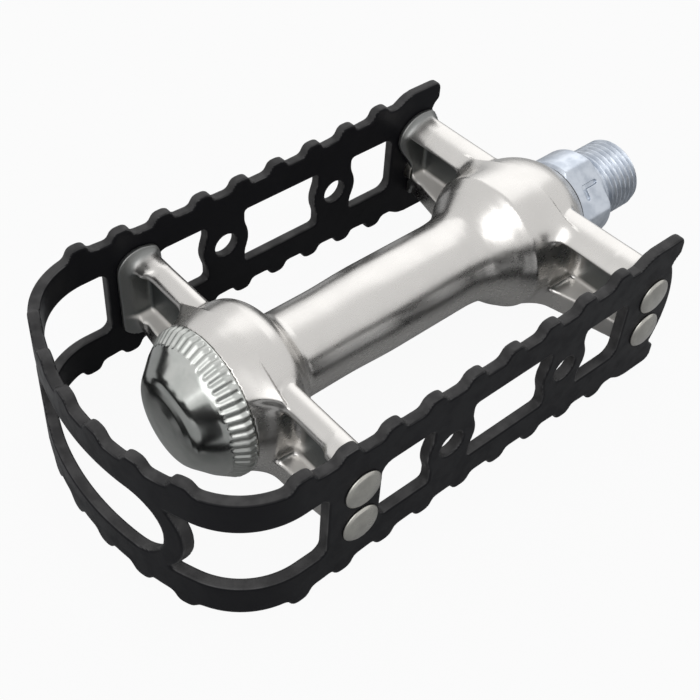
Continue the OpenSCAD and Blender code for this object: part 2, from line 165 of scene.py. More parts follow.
class Shader:
    """Node tree of one material or world, built by expressions."""

    def __init__(self, owner: bpy.types.Material | bpy.types.World) -> None:
        """Empties the owner's tree and adds its output.

        Args:
            owner: The material or world.
        """
        owner.use_nodes = True
        self.owner = owner
        self.tree = owner.node_tree
        self.tree.nodes.clear()
        kind = "World" if isinstance(owner, bpy.types.World) else "Material"
        self.output = self.node(f"ShaderNodeOutput{kind}")

    def node(self, kind: str, settings: dict | None = None,
             inputs: dict | None = None) -> bpy.types.Node:
        """Adds a node, sets it up and feeds it.

        Args:
            kind: Type name of the node.
            settings: Attributes that are set first.
            inputs: Values, signals or sockets by input name or number.

        Returns:
            The new node.
        """
        made = self.tree.nodes.new(kind)
        for key, value in (settings or {}).items():
            setattr(made, key, value)
        for key, value in (inputs or {}).items():
            self.feed(made.inputs[key], value)
        return made

    def feed(self, socket: bpy.types.NodeSocket, value: object) -> None:
        """Links a signal or a socket to an input, or sets its value.

        Args:
            socket: The input.
            value: Signal, socket, number or colour.
        """
        if isinstance(value, Signal):
            self.tree.links.new(value.socket, socket)
        elif isinstance(value, bpy.types.NodeSocket):
            self.tree.links.new(value, socket)
        elif isinstance(value, tuple) and len(value) == 3 and socket.type == "RGBA":
            socket.default_value = (*value, 1.0)
        else:
            socket.default_value = value

    def place(self, stretch: tuple[float, float, float] = (1.0, 1.0, 1.0)) -> bpy.types.NodeSocket:
        """Place on the object in millimetres.

        Args:
            stretch: Factor along each axis.

        Returns:
            The vector output.
        """
        place = self.node("ShaderNodeTexCoord").outputs["Object"]
        scaled = self.node("ShaderNodeVectorMath", {"operation": "MULTIPLY"},
                           {0: place, 1: tuple(s / MM for s in stretch)})
        return scaled.outputs["Vector"]

    def noise(self, size: float, detail: float = 2.0,
              stretch: tuple[float, float, float] = (1.0, 1.0, 1.0)) -> Signal:
        """Cloudy noise.

        Args:
            size: Size of one cloud in millimetres.
            detail: Number of finer layers.
            stretch: Factor along each axis before the size is taken.

        Returns:
            Values round 0.5.
        """
        made = self.node("ShaderNodeTexNoise", {"noise_dimensions": "3D"},
                         {"Vector": self.place(stretch), "Scale": 1.0 / size, "Detail": detail})
        return Signal(self, made.outputs["Fac"])

    def attribute(self, name: str) -> Signal:
        """Value that the mesh keeps at each vertex."""
        made = self.node("ShaderNodeAttribute", {"attribute_name": name})
        return Signal(self, made.outputs["Fac"])

    def mix(self, share: Signal, low: object, high: object) -> bpy.types.NodeSocket:
        """Mixes two colours.

        Args:
            share: Share of the second colour.
            low: First colour or socket.
            high: Second colour or socket.

        Returns:
            The mixed colour's socket.
        """
        made = self.node("ShaderNodeMix", {"data_type": "RGBA"}, {0: share, 6: low, 7: high})
        return made.outputs[2]

    def bump(self, height: Signal, depth: float, strength: float = 1.0,
             normal: bpy.types.NodeSocket | None = None) -> bpy.types.NodeSocket:
        """Turns a height from 0 to 1 into a bumped normal.

        Args:
            height: The height.
            depth: Depth of a full step in millimetres.
            strength: How much of the bump shows.
            normal: A normal to add to.

        Returns:
            The normal's socket.
        """
        inputs = {"Height": height, "Distance": depth * MM, "Strength": strength}
        if normal is not None:
            inputs["Normal"] = normal
        return self.node("ShaderNodeBump", {}, inputs).outputs["Normal"]

    def principled(self, **inputs: object) -> bpy.types.Material:
        """Ends the material with a Principled shader.

        Args:
            inputs: Its inputs, with underscores for blanks.

        Returns:
            The finished material.
        """
        named = {key.replace("_", " "): value for key, value in inputs.items()}
        made = self.node("ShaderNodeBsdfPrincipled", {}, named)
        self.feed(self.output.inputs["Surface"], made.outputs["BSDF"])
        return self.owner


@dataclass(frozen=True)
class CastAluminium:
    """Polished cast aluminium, rougher in the pockets and round the feet, where its colour is darkened with
    painted shade, and with painted light on the pockets' floors.
    """

    name: str = "cast_aluminium"
    bright: Colour = (0.62, 0.605, 0.585)
    # Dark colour of the pockets and the feet: painted shade.
    skin_and_shade: Colour = (0.13, 0.14, 0.14)
    # Pale colour of the pockets' floors: painted light where the lamps fall.
    pocket_floor_light: Colour = (0.80, 0.77, 0.73)
    shade: float = 0.9
    cloud_size: float = 5.0
    grain_size: float = 0.35
    stroke_size: float = 0.5
    stroke_stretch: tuple[float, float, float] = (0.25, 1.0, 1.0)
    polished_rough: float = 0.20
    patchy_rough: float = 0.08
    skin_rough: float = 0.10
    skin_grain_rough: float = 0.2
    # Roughness and lower metalness of the pockets' floors, under their painted light.
    pocket_floor_rough: float = 0.30
    pocket_floor_dullness: float = 0.75
    cloud_depth: float = 0.05
    stroke_depth: float = 0.004
    grain_depth: float = 0.010
    polished_grain: float = 0.06

    def material(self) -> bpy.types.Material:
        """Builds the node material."""
        shader = Shader(bpy.data.materials.new(self.name))
        skin_and_shade = shader.attribute("cast_skin_and_shade").ramp(0.0, 1.0)
        pocket_floor_light = shader.attribute("pocket_floor_light_share").ramp(0.0, 1.0)
        cloud = shader.noise(self.cloud_size, 3.0)
        grain = shader.noise(self.grain_size, 3.0)
        strokes = shader.noise(self.stroke_size, 2.0, self.stroke_stretch)
        shaded = tuple(self.shade * c for c in self.bright)
        # Painted shade: darkens the pockets and the feet.
        colour = shader.mix(skin_and_shade, shader.mix(cloud, self.bright, shaded), self.skin_and_shade)
        # Painted light: the pockets' floors turn pale and less metallic.
        colour = shader.mix(pocket_floor_light, colour, self.pocket_floor_light)
        rough = self.polished_rough + self.patchy_rough * cloud + self.patchy_rough * strokes
        rough = rough + skin_and_shade * (self.skin_rough + self.skin_grain_rough * grain) + self.pocket_floor_rough * pocket_floor_light
        wavy = shader.bump(cloud, self.cloud_depth, GENTLE)
        lined = shader.bump(strokes, self.stroke_depth, GENTLE, wavy)
        normal = shader.bump(grain * (self.polished_grain + skin_and_shade), self.grain_depth, CLEAR, lined)
        return shader.principled(Base_Color=colour, Metallic=1.0 - self.pocket_floor_dullness * pocket_floor_light,
                                 Roughness=rough, Normal=normal)


@dataclass(frozen=True)
class BlackStrip:
    """Satin black anodised aluminium strip, greyer where it was cut and thin on the edges."""

    name: str = "black_strip"
    face: Colour = (0.008, 0.008, 0.0095)
    cut: Colour = (0.074, 0.072, 0.072)
    edge: Colour = (0.11, 0.108, 0.108)
    patch_size: float = 3.0
    grain_size: float = 0.22
    least_wear: float = 0.35
    least_bare: float = 0.55
    satin_rough: float = 0.30
    patch_rough: float = 0.12
    grain_rough: float = 0.06
    patch_depth: float = 0.03
    grain_depth: float = 0.012
    shine: float = 0.08

    def material(self) -> bpy.types.Material:
        """Builds the node material."""
        shader = Shader(bpy.data.materials.new(self.name))
        worn = shader.attribute("edge_wear").ramp(0.25, 1.0)
        patch = shader.noise(self.patch_size, 4.0).ramp(0.35, 0.7)
        grain = shader.noise(self.grain_size, 3.0)
        wear = worn * (self.least_wear + (1.0 - self.least_wear) * patch)
        punched = shader.attribute("cut_face").ramp(0.55, 0.95)
        bare = punched * (self.least_bare + (1.0 - self.least_bare) * patch)
        colour = shader.mix(wear, shader.mix(bare, self.face, self.cut), self.edge)
        rough = self.satin_rough + self.patch_rough * patch + self.grain_rough * grain
        uneven = shader.bump(patch, self.patch_depth, GENTLE)
        normal = shader.bump(grain, self.grain_depth, CLEAR, uneven)
        return shader.principled(Base_Color=colour, Metallic=0.0, Roughness=rough, Normal=normal,
                                 Specular_IOR_Level=self.shine)


@dataclass(frozen=True)
class Plated:
    """Plated or polished metal: the cap, the rivets, the spindle and the bearings."""

    name: str
    colour: Colour
    tint: Colour
    rough: float
    grain: float = 0.4
    depth: float = 0.004
    fluted_rough: float = 0.0
    cloud_size: float = 2.4
    least_rough: float = 0.75
    cloud_rough: float = 0.5
    grain_rough: float = 0.04

    def material(self) -> bpy.types.Material:
        """Builds the node material."""
        shader = Shader(bpy.data.materials.new(self.name))
        cloud = shader.noise(self.cloud_size, 3.0)
        grain = shader.noise(self.grain, 3.0)
        colour = shader.mix(cloud.ramp(0.35, 0.65), self.colour, self.tint)
        rough = self.rough * (self.least_rough + self.cloud_rough * cloud) + self.grain_rough * grain
        if self.fluted_rough:
            rough = rough + self.fluted_rough * shader.attribute("fluted")
        normal = shader.bump(grain, self.depth, CLEAR)
        return shader.principled(Base_Color=colour, Metallic=1.0, Roughness=rough, Normal=normal)


@dataclass(frozen=True)
class SealRubber:
    """Dull black rubber."""

    name: str = "seal_rubber"
    dark: Colour = (0.012, 0.012, 0.012)
    dusty: Colour = (0.03, 0.03, 0.03)
    grain_size: float = 0.3
    rough: float = 0.55
    grain_rough: float = 0.2
    grain_depth: float = 0.02

    def material(self) -> bpy.types.Material:
        """Builds the node material."""
        shader = Shader(bpy.data.materials.new(self.name))
        grain = shader.noise(self.grain_size, 3.0)
        colour = shader.mix(grain, self.dark, self.dusty)
        rough = self.rough + self.grain_rough * grain
        normal = shader.bump(grain, self.grain_depth, CLEAR)
        return shader.principled(Base_Color=colour, Metallic=0.0, Roughness=rough, Normal=normal)


FINISHES: dict[Slot, CastAluminium | BlackStrip | Plated | SealRubber] = {
    Slot.CAST: CastAluminium(),
    Slot.STRIP: BlackStrip(),
    Slot.CAP: Plated("bright_cap", colour=(0.50, 0.51, 0.49), tint=(0.45, 0.465, 0.445), rough=0.16,
                     grain=0.6, depth=0.002, fluted_rough=0.22),
    Slot.RIVET: Plated("rivet_metal", colour=(0.50, 0.49, 0.45), tint=(0.42, 0.41, 0.38), rough=0.28,
                       grain=0.3, depth=0.008),
    Slot.ZINC: Plated("zinc_steel", colour=(0.56, 0.60, 0.66), tint=(0.44, 0.48, 0.54), rough=0.36,
                      grain=0.3, depth=0.012),
    Slot.STEEL: Plated("bearing_steel", colour=(0.56, 0.56, 0.57), tint=(0.50, 0.50, 0.51), rough=0.14),
    Slot.RUBBER: SealRubber(),
}


class Wardrobe:
    """Makes each finish's material once and puts it on pieces."""

    def __init__(self) -> None:
        """Makes the materials."""
        self.materials = {slot: finish.material() for slot, finish in FINISHES.items()}

    def dress(self, piece: bpy.types.Object, slot: Slot, rider: Rider, *nodes: str) -> bpy.types.Object:
        """Gives a new piece its finish, its body and the nodes that it stands for.

        Args:
            piece: The piece.
            slot: Its material slot.
            rider: The body that it rides on.
            nodes: CAD nodes that it replaces.

        Returns:
            The piece.
        """
        piece.data.materials.clear()
        piece.data.materials.append(self.materials[slot])
        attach(piece, rider.value)
        if nodes:
            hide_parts(*nodes)
        LOG.info("%s: %d vertices, %s, rides on %s", piece.name, len(piece.data.vertices),
                 slot.value, rider.value)
        return piece

    def repaint(self, node: str, slot: Slot) -> None:
        """Puts a finish on a CAD node that stays as it is.

        Args:
            node: Name of the node.
            slot: Its material slot.
        """
        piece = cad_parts[node]
        if not piece.material_slots:
            piece.data.materials.append(self.materials[slot])
        for place in piece.material_slots:
            place.material = self.materials[slot]
        LOG.info("%s: CAD solid, %s", node, slot.value)


def soft_min(a: Array, b: Array, k: Array | float) -> Array:
    """Smaller of two distances, with the inner corner filled over a width k."""
    gap = np.maximum(k - np.abs(a - b), 0.0) / np.maximum(k, 1e-6)
    return np.minimum(a, b) - gap * gap * k * 0.25


def soft_max(a: Array, b: Array, k: Array | float) -> Array:
    """Larger of two distances, with the outer corner rounded over a width k."""
    return -soft_min(-a, -b, k)


def ease(x: Array, low: float, high: float) -> Array:
    """Smooth share from 0 at low to 1 at high."""
    t = np.clip((x - low) / (high - low), 0.0, 1.0)
    return t * t * (3.0 - 2.0 * t)


def round_box(dx: Array, dy: Array, r: Array | float) -> Array:
    """Distance to a box with round corners, from how far a point lies past each inner edge."""
    return np.hypot(np.maximum(dx, 0.0), np.maximum(dy, 0.0)) + np.minimum(np.maximum(dx, dy), 0.0) - r


def smooth_line(points: list[Point], x: Array) -> Array:
    """Curve through points that never swings past them.

    Args:
        points: Points as (x, value), with rising x.
        x: Places to read.

    Returns:
        The curve's values.
    """
    px, py = np.array(points, dtype=float).T
    h = np.diff(px)
    slope = np.diff(py) / h
    tangent = np.zeros_like(px)
    same = slope[1:] * slope[:-1] > 0
    w1, w2 = 2 * h[1:] + h[:-1], h[1:] + 2 * h[:-1]
    with np.errstate(divide="ignore", invalid="ignore"):
        mean = (w1 + w2) / (w1 / slope[:-1] + w2 / slope[1:])
    tangent[1:-1] = np.where(same, mean, 0.0)
    tangent[0], tangent[-1] = slope[0], slope[-1]
    i = np.clip(np.searchsorted(px, x) - 1, 0, len(h) - 1)
    t = np.clip((x - px[i]) / h[i], 0.0, 1.0)
    a, b = py[i], py[i + 1]
    return ((1 + 2 * t) * (1 - t) ** 2 * a + t * (1 - t) ** 2 * h[i] * tangent[i]
            + t * t * (3 - 2 * t) * b + t * t * (t - 1) * h[i] * tangent[i + 1])


def surface_net(values: Array, origin: Array, step: Array) -> tuple[Array, Array]:
    """Turns a grid of distances into a closed mesh of quads.

    Args:
        values: Signed distances, negative inside.
        origin: Place of the first grid point.
        step: Grid step along each axis.

    Returns:
        Vertices and quads.
    """
    inside = values < 0
    cells = tuple(n - 1 for n in values.shape)
    corners = [np.array(c) for c in np.ndindex(2, 2, 2)]
    count = sum(inside[c[0]:c[0] + cells[0], c[1]:c[1] + cells[1], c[2]:c[2] + cells[2]].astype(np.int8)
                for c in corners)
    active = (count > 0) & (count < 8)
    places = np.argwhere(active)
    index = np.full(cells, -1, dtype=np.int64)
    index[active] = np.arange(len(places))
    total = np.zeros((len(places), 3))
    hits = np.zeros(len(places))
    for a in corners:
        for axis in range(3):
            if a[axis]:
                continue
            b = a + np.eye(3, dtype=int)[axis]
            va, vb = values[tuple((places + a).T)], values[tuple((places + b).T)]
            cross = (va < 0) != (vb < 0)
            t = np.where(cross, va / np.where(cross, va - vb, 1.0), 0.0)
            total += np.where(cross[:, None], a + t[:, None] * (b - a), 0.0)
            hits += cross
    verts = origin + (places + total / hits[:, None]) * step
    quads = []
    for axis in range(3):
        u, v = np.eye(3, dtype=int)[(axis + 1) % 3], np.eye(3, dtype=int)[(axis + 2) % 3]
        low = [slice(1, -1)] * 3
        high = [slice(1, -1)] * 3
        low[axis], high[axis] = slice(0, -1), slice(1, None)
        start = inside[tuple(low)]
        turn = start != inside[tuple(high)]
        at = np.argwhere(turn) + np.array([0 if i == axis else 1 for i in range(3)])
        ring = np.stack([index[tuple(at.T)], index[tuple((at - u).T)],
                         index[tuple((at - u - v).T)], index[tuple((at - v).T)]], axis=1)
        outward = start[turn]
        quads.append(np.where(outward[:, None], ring, ring[:, ::-1]))
    return verts, np.concatenate(quads)


def slope_of(rule: Rule, points: Array, reach: float = 0.02) -> Array:
    """Gradient of a distance rule by differences.

    Args:
        rule: The rule.
        points: Points to read.
        reach: Half of the difference's width.

    Returns:
        One gradient a point.
    """
    found = np.empty_like(points)
    for axis in range(3):
        move = np.zeros(3)
        move[axis] = reach
        found[:, axis] = (rule(points + move) - rule(points - move)) / (2 * reach)
    return found


def settle(rule: Rule, points: Array, rounds: int = 4, limit: float = 0.2, flattest: float = 0.05,
           normal_reach: float = 0.06) -> tuple[Array, Array]:
    """Moves points onto a rule's surface.

    Args:
        rule: The distance rule.
        points: Points close to its surface.
        rounds: How often they are moved.
        limit: Longest move in one round.
        flattest: Smallest squared slope that a move is divided by.
        normal_reach: Half of the width over which the normals are read.

    Returns:
        The points and their unit normals.
    """
    for _ in range(rounds):
        slope = slope_of(rule, points)
        move = rule(points) / np.maximum((slope * slope).sum(axis=1), flattest)
        points = points - np.clip(move, -limit, limit)[:, None] * slope
    slope = slope_of(rule, points, normal_reach)
    return points, slope / np.maximum(np.linalg.norm(slope, axis=1), 1e-9)[:, None]


def grid_of(low: tuple[float, float, float], high: tuple[float, float, float],
            step: float) -> tuple[Array, Array, tuple[int, int, int]]:
    """Points of a grid.

    Args:
        low: Lowest corner.
        high: Highest corner.
        step: Distance between points.

    Returns:
        The points, the first of them, and the grid's shape.
    """
    axes = [np.arange(a, b + step, step) for a, b in zip(low, high)]
    mesh = np.meshgrid(*axes, indexing="ij")
    return np.stack([m.ravel() for m in mesh], axis=1), np.array([a[0] for a in axes]), mesh[0].shape


def read_rule(rule: Rule, points: Array, share: int = 400_000) -> Array:
    """Reads a rule at many points, a share at a time."""
    return np.concatenate([rule(points[i:i + share]) for i in range(0, len(points), share)])


def make_piece(name: str, verts: Array, faces: Array | list, normals: Array | None = None,
               values: dict[str, Array] | None = None) -> bpy.types.Object:
    """Makes a smooth mesh object.

    Args:
        name: Name of the piece.
        verts: Vertices in millimetres.
        faces: Faces as vertex numbers.
        normals: One normal a vertex, or None.
        values: Values kept at the vertices, by name.

    Returns:
        The object.
    """
    mesh = bpy.data.meshes.new(name)
    mesh.from_pydata((verts * MM).tolist(), [], faces.tolist() if isinstance(faces, Array) else faces)
    mesh.polygons.foreach_set("use_smooth", [True] * len(mesh.polygons))
    for key, value in (values or {}).items():
        mesh.attributes.new(key, "FLOAT", "POINT").data.foreach_set("value", np.clip(value, 0, 1))
    if normals is not None:
        mesh.normals_split_custom_set_from_vertices(normals.tolist())
    mesh.update()
    piece = bpy.data.objects.new(name, mesh)
    bpy.context.scene.collection.objects.link(piece)
    return piece


def weld(piece: bpy.types.Object, angle: float = 50.0) -> None:
    """Joins doubled vertices, turns the faces outwards and marks sharp edges.

    Args:
        piece: The piece.
        angle: Edges sharper than this many degrees stay sharp.
    """
    work = bmesh.new()
    work.from_mesh(piece.data)
    bmesh.ops.remove_doubles(work, verts=work.verts, dist=0.001 * MM)
    bmesh.ops.recalc_face_normals(work, faces=work.faces)
    work.to_mesh(piece.data)
    work.free()
    piece.data.set_sharp_from_angle(angle=math.radians(angle))


def eased(points: list[Point], reach: float, steps: int = 4) -> list[Point]:
    """Rounds the corners of an open line.

    Args:
        points: The line's points.
        reach: How far from a corner its rounding starts, at most.
        steps: Number of pieces in a rounding.

    Returns:
        The rounded line.
    """
    line = [points[0]]
    for before, at, after in zip(points, points[1:], points[2:]):
        a, p, b = (np.array(q, dtype=float) for q in (before, at, after))
        back = min(reach / max(np.linalg.norm(a - p), 1e-9), 0.5)
        on = min(reach / max(np.linalg.norm(b - p), 1e-9), 0.5)
        start, end = p + (a - p) * back, p + (b - p) * on
        for i in range(steps + 1):
            t = i / steps
            line.append(tuple((1 - t) ** 2 * start + 2 * t * (1 - t) * p + t * t * end))
    line.append(points[-1])
    return line


def lathe(line: list[Point], turns: int,
          shape: Callable[[Array, Array, Array], Array] | None = None) -> tuple[Array, list]:
    """Turns a line about the X axis.

    Args:
        line: Points as (x, radius). A radius of 0 becomes one vertex.
        turns: Number of points round.
        shape: Gives the radius from (x, radius, angle), or None.

    Returns:
        Vertices and faces, with the left of the line's run outside.
    """
    angle = np.arange(turns) / turns * 2 * math.pi
    verts: list[Array] = []
    rings: list[list[int]] = []
    for x, r in line:
        first = sum(len(v) for v in verts)
        if r <= 1e-6:
            verts.append(np.array([[x, 0.0, 0.0]]))
            rings.append([first] * turns)
            continue
        radius = np.full(turns, r)
        if shape is not None:
            radius = shape(np.full(turns, x), radius, angle)
        verts.append(np.stack([np.full(turns, x), radius * np.cos(angle), radius * np.sin(angle)], axis=1))
        rings.append(list(range(first, first + turns)))
    faces = []
    for a, b in zip(rings, rings[1:]):
        for i in range(turns):
            j = (i + 1) % turns
            corner = [a[i], a[j], b[j], b[i]]
            face = [c for n, c in enumerate(corner) if c not in corner[:n]]
            if len(face) > 2:
                faces.append(face)
    return np.concatenate(verts), faces


@dataclass(frozen=True)
class ArmSizes:
    """Sizes of one pair of arms. An arm is a rail above a pocket, with a foot at the cage.

    Attributes:
        rail_crank: X of the rail's side towards the crank.
        rail_cap: X of the rail's side towards the cap.
        rail_top: Height of the rail's crest.
        crest_x: X from which the crest falls off towards the cap.
        crest_round: Radius of that fall.
        foot_crank: X of the foot's side towards the crank.
        foot_cap: X of the foot's side towards the cap.
        foot_top: Half height of the foot.
        foot_lap: How far the foot may stand out past the rail and the flange towards the cap.
        flange_root: X of the lower flange's edge, carried on to the middle plane.
        flange_tip: X of the lower flange's edge at the cage.
        web_x: X of the pocket's back wall.
        pocket_y: Where the pocket ends before the cage.
        pocket_round: Radius of the pocket's corners.
        fillet_x: X from which the fillet to the boss is at its full width, towards the cap.
        fillet_side: Width of that fillet beside the pocket.
        fillet_top: Width of that fillet over the crest.
    """

    rail_crank: float
    rail_cap: float
    rail_top: float
    crest_x: float
    crest_round: float
    foot_crank: float
    foot_cap: float
    foot_top: float
    foot_lap: float
    flange_root: float
    flange_tip: float
    web_x: float
    pocket_y: float
    pocket_round: float
    fillet_x: float
    fillet_side: float
    fillet_top: float


@dataclass
class CastBody:
    """Cast body: a barrel, two bosses and two pairs of pocketed arms, in one smooth surface.

    Listed are the attributes whose names leave something open.

    Attributes:
        wardrobe: Finishes for the piece.
        plan: Shared places.
        step: Grid step of the mesh.
        grid_x: Span of the grid along the spindle.
        grid_rows: Grid steps from the middle plane to each side.
        grid_z: Half height of the grid.
        plate_y: Inner face of the cage's sides, where the feet end.
        flange_top: Height of the pockets' floors.
        pocket_top: Height of the pockets' roofs.
        flare_y: Where the feet start to flare out.
        disc_y: Where the feet reach their full size.
        foot_inset: How much smaller a foot is where it starts to flare.
        foot_blend: Width of the blend from rail to foot, at the pocket's floor.
        foot_blend_rise: What that width gains up to the pocket's roof.
        wall_ease: Margin at a pocket's floor and roof within which its side doesn't lean.
        shoulder_from: Height over the pocket's roof at which the boss's fillet starts to widen.
        shoulder_to: Height over the rail's crest at which it is widest.
        root_t: Wall that a pocket leaves over the boss.
        walls_reach: Depth in a pocket over which the rougher cast finish with painted shade begins, negative
            outside it.
        root_reach: Distance from the boss over which it begins.
        floor_reach: Height over a pocket's floor over which the painted light ends.
        foot_reach: Distance from the middle plane over which the feet's painted shade begins.
        foot_shade: Share of painted shade, with rougher cast finish, on the feet.
        table_x: Places at which the turned outline is kept.
        table_r: Its radii.
        table_s: Its slopes.
    """

    wardrobe: Wardrobe
    plan: Layout = Layout()
    step: float = 0.42
    grid_x: tuple[float, float] = (-90.6, -6.0)
    grid_rows: float = 71.5
    grid_z: float = 14.9
    plate_y: float = 28.9
    cap_rim_x: float = -89.7
    inboard_r: float = 13.3
    outboard_r: float = 14.0
    barrel_r: float = 8.05
    barrel_bore_r: float = 5.6
    barrel_bore_middle: float = -48.0
    barrel_bore_half: float = 40.0
    cup_bore_r: float = 8.72
    inboard_cup_x: float = -15.0
    outboard_cup_x: float = -81.02
    cap_bore_r: float = 11.95
    cap_bore_l: float = 3.1
    rivet_hole_l: float = 3.4
    arm_bottom: float = -9.2
    flange_top: float = -4.4
    pocket_top: float = 6.3
    flare_y: float = 25.2
    disc_y: float = 27.9
    foot_inset: float = 2.8
    foot_blend: float = 1.2
    foot_blend_rise: float = 1.8
    wall_ease: float = 1.0
    shoulder_from: float = 0.7
    shoulder_to: float = 0.4
    root_t: float = 0.5
    edge_round: float = 0.5
    lip_round: float = 0.7
    cast_round: float = 0.9
    root_round: float = 1.6
    walls_reach: tuple[float, float] = (-1.0, 0.4)
    root_reach: tuple[float, float] = (0.8, 3.5)
    floor_reach: tuple[float, float] = (0.1, 1.0)
    foot_reach: tuple[float, float] = (25.4, 27.4)
    foot_shade: float = 0.7
    inboard: ArmSizes = ArmSizes(
        rail_crank=-14.0, rail_cap=-21.5, rail_top=9.1, crest_x=-15.6, crest_round=7.4,
        foot_crank=-11.66, foot_cap=-21.66, foot_top=9.6, foot_lap=0.3,
        flange_root=-24.9, flange_tip=-17.9, web_x=-15.6, pocket_y=27.2, pocket_round=0.9,
        fillet_x=-18.5, fillet_side=3.2, fillet_top=4.6)
    outboard: ArmSizes = ArmSizes(
        rail_crank=-81.0, rail_cap=-85.5, rail_top=8.6, crest_x=-82.4, crest_round=4.4,
        foot_crank=-80.16, foot_cap=-89.06, foot_top=9.8, foot_lap=3.4,
        flange_root=-88.96, flange_tip=-85.26, web_x=-83.0, pocket_y=27.2, pocket_round=1.6,
        fillet_x=-85.3, fillet_side=3.2, fillet_top=6.0)
    table_x: Array = field(default_factory=lambda: np.arange(-92.0, -5.0, 0.04))
    table_r: Array = field(init=False)
    table_s: Array = field(init=False)

    def __post_init__(self) -> None:
        """Works out the turned outline."""
        self.table_r = smooth_line(self.outline(), self.table_x)
        self.table_s = np.gradient(self.table_r, self.table_x)

    def outline(self) -> list[Point]:
        """Turned outline as (x, radius), from the cap to the crank end."""
        i, o, b = self.inboard_r, self.outboard_r, self.barrel_r
        a, m = self.plan.outboard_x, self.plan.mouth_x
        points = [
            (m + 1.5, i - 6.0), (m, i - 4.25), (m - 0.7, i - 3.65), (m - 1.8, i - 2.75), (m - 3.1, i - 1.85),
            (m - 4.5, i - 1.1), (m - 6.1, i - 0.52), (m - 7.8, i - 0.16), (m - 9.5, i), (-23.5, i),
            (-25.7, i - 0.03), (-26.2, i - 0.14), (-26.6, i - 0.36), (-27.2, i - 0.74), (-28.6, i - 1.62),
            (-29.5, i - 2.35), (-30.8, i - 3.3), (-31.9, i - 3.95), (-33, i - 4.4), (-35, i - 4.75),
            (-37.5, i - 4.9), (a + 30, b + 0.35), (a + 18, b), (a + 9.8, b + 0.02), (a + 8.9, b + 0.25),
            (a + 8.1, b + 0.8), (a + 7.4, b + 1.65), (a + 6.8, o - 3.3), (a + 6.1, o - 2.2),
            (a + 5.3, o - 1.3), (a + 4.4, o - 0.6), (a + 3.5, o - 0.2), (a + 2.4, o),
            (a - 0.5, o - 0.05), (a - 3, o - 0.25), (a - 5, o - 0.55), (self.cap_rim_x - 1, o - 0.85)
        ]
        return sorted(points)

    def arm(self, x: Array, y: Array, z: Array, sizes: ArmSizes) -> tuple[Array, Array]:
        """Distances to one arm and to its pocket.

        Args:
            x: Places along the spindle.
            y: Distances from the middle plane.
            z: Heights.
            sizes: The arm's sizes.

        Returns:
            Distance to the arm, and distance to the pocket that is cut from it.
        """
        t = np.clip((y - self.flare_y) / (self.disc_y - self.flare_y), 0.0, 1.0)
        flange = sizes.flange_root + (sizes.flange_tip - sizes.flange_root) * y / self.plate_y
        high = ease(z, self.flange_top + self.wall_ease, self.pocket_top - self.wall_ease)
        cap_side = flange * (1 - high) + sizes.rail_cap * high
        crest_z = sizes.rail_top - sizes.crest_round
        rail = np.hypot(np.minimum(x - sizes.crest_x, 0.0), np.maximum(z - crest_z, 0.0))
        rail = soft_max(rail - sizes.crest_round, x - sizes.rail_crank, self.root_round)
        rail = soft_max(rail, cap_side - x, self.cast_round)
        rail = soft_max(rail, self.arm_bottom - z, self.cast_round)
        r = (sizes.foot_crank - sizes.foot_cap) / 2
        above = np.maximum(np.abs(z) - (sizes.foot_top - r), 0.0)
        foot = np.hypot(x - sizes.foot_cap - r, above) - r + self.foot_inset * (1.0 - t ** 4)
        foot = soft_max(foot, cap_side - sizes.foot_lap - x, self.edge_round)
        foot = soft_max(foot, self.flare_y - y, self.edge_round)
        arm = soft_min(rail, foot, self.foot_blend + self.foot_blend_rise * high)
        arm = soft_max(arm, y - self.plate_y, self.edge_round)
        middle = (self.pocket_top - self.flange_top) / 2
        dz = np.abs(z - self.flange_top - middle) - (middle - sizes.pocket_round)
        pocket = round_box(y - (sizes.pocket_y - sizes.pocket_round), dz, sizes.pocket_round)
        return arm, soft_max(pocket, x - sizes.web_x, self.cast_round)

    def skin_shade_and_floor_light(self, y: Array, z: Array, turned: Array, arm: Array,
                   pocket: Array) -> tuple[Array, Array]:
        """Shares of the painted shade and the painted light that one pair of arms gets.

        Args:
            y: Distances from the middle plane.
            z: Heights.
            turned: Distances to the turned outline.
            arm: Distances to the arm.
            pocket: Distances to its pocket.

        Returns:
            The share of painted shade, with rougher cast finish, on the pocket's walls and round the foot,
            and the share of painted light, pale and less metallic, on the pocket's floor.
        """
        # Painted shade on the pocket's walls and round the foot; painted light on the pocket's floor.
        near = ease(-pocket, *self.walls_reach) * ease(turned, *self.root_reach)
        start, stop = self.floor_reach
        floor = 1.0 - ease(z, self.flange_top + start, self.flange_top + stop)
        foot = self.foot_shade * ease(y, *self.foot_reach) * ease(-arm, -1.0, 0.0)
        return np.maximum(near * (1.0 - floor), foot * (1.0 - floor * near)), near * floor

    def bores(self, x: Array, y: Array, z: Array) -> Array:
        """Distance to the bores for the spindle, the cups and the cap, and to the rivet holes.

        Args:
            x: Places along the spindle.
            y: Distances from the middle plane.
            z: Heights.

        Returns:
            Signed distances, negative in a bore.
        """
        rho = np.hypot(y, z)
        past_end = np.abs(x - self.barrel_bore_middle) - self.barrel_bore_half
        found = np.maximum(rho - self.barrel_bore_r, past_end)
        found = np.minimum(found, np.maximum(rho - self.cup_bore_r, self.inboard_cup_x - x))
        found = np.minimum(found, np.maximum(rho - self.cup_bore_r, x - self.outboard_cup_x))
        found = np.minimum(found, np.maximum(rho - self.cap_bore_r, x - self.cap_rim_x - self.cap_bore_l))
        for place in (self.plan.inboard_x, self.plan.outboard_x):
            hole = np.hypot(x - place, np.abs(z) - self.plan.rivet_z) - self.plan.rivet_hole_r
            found = np.minimum(found, np.maximum(hole, self.plan.side_y - self.rivet_hole_l - y))
        return found

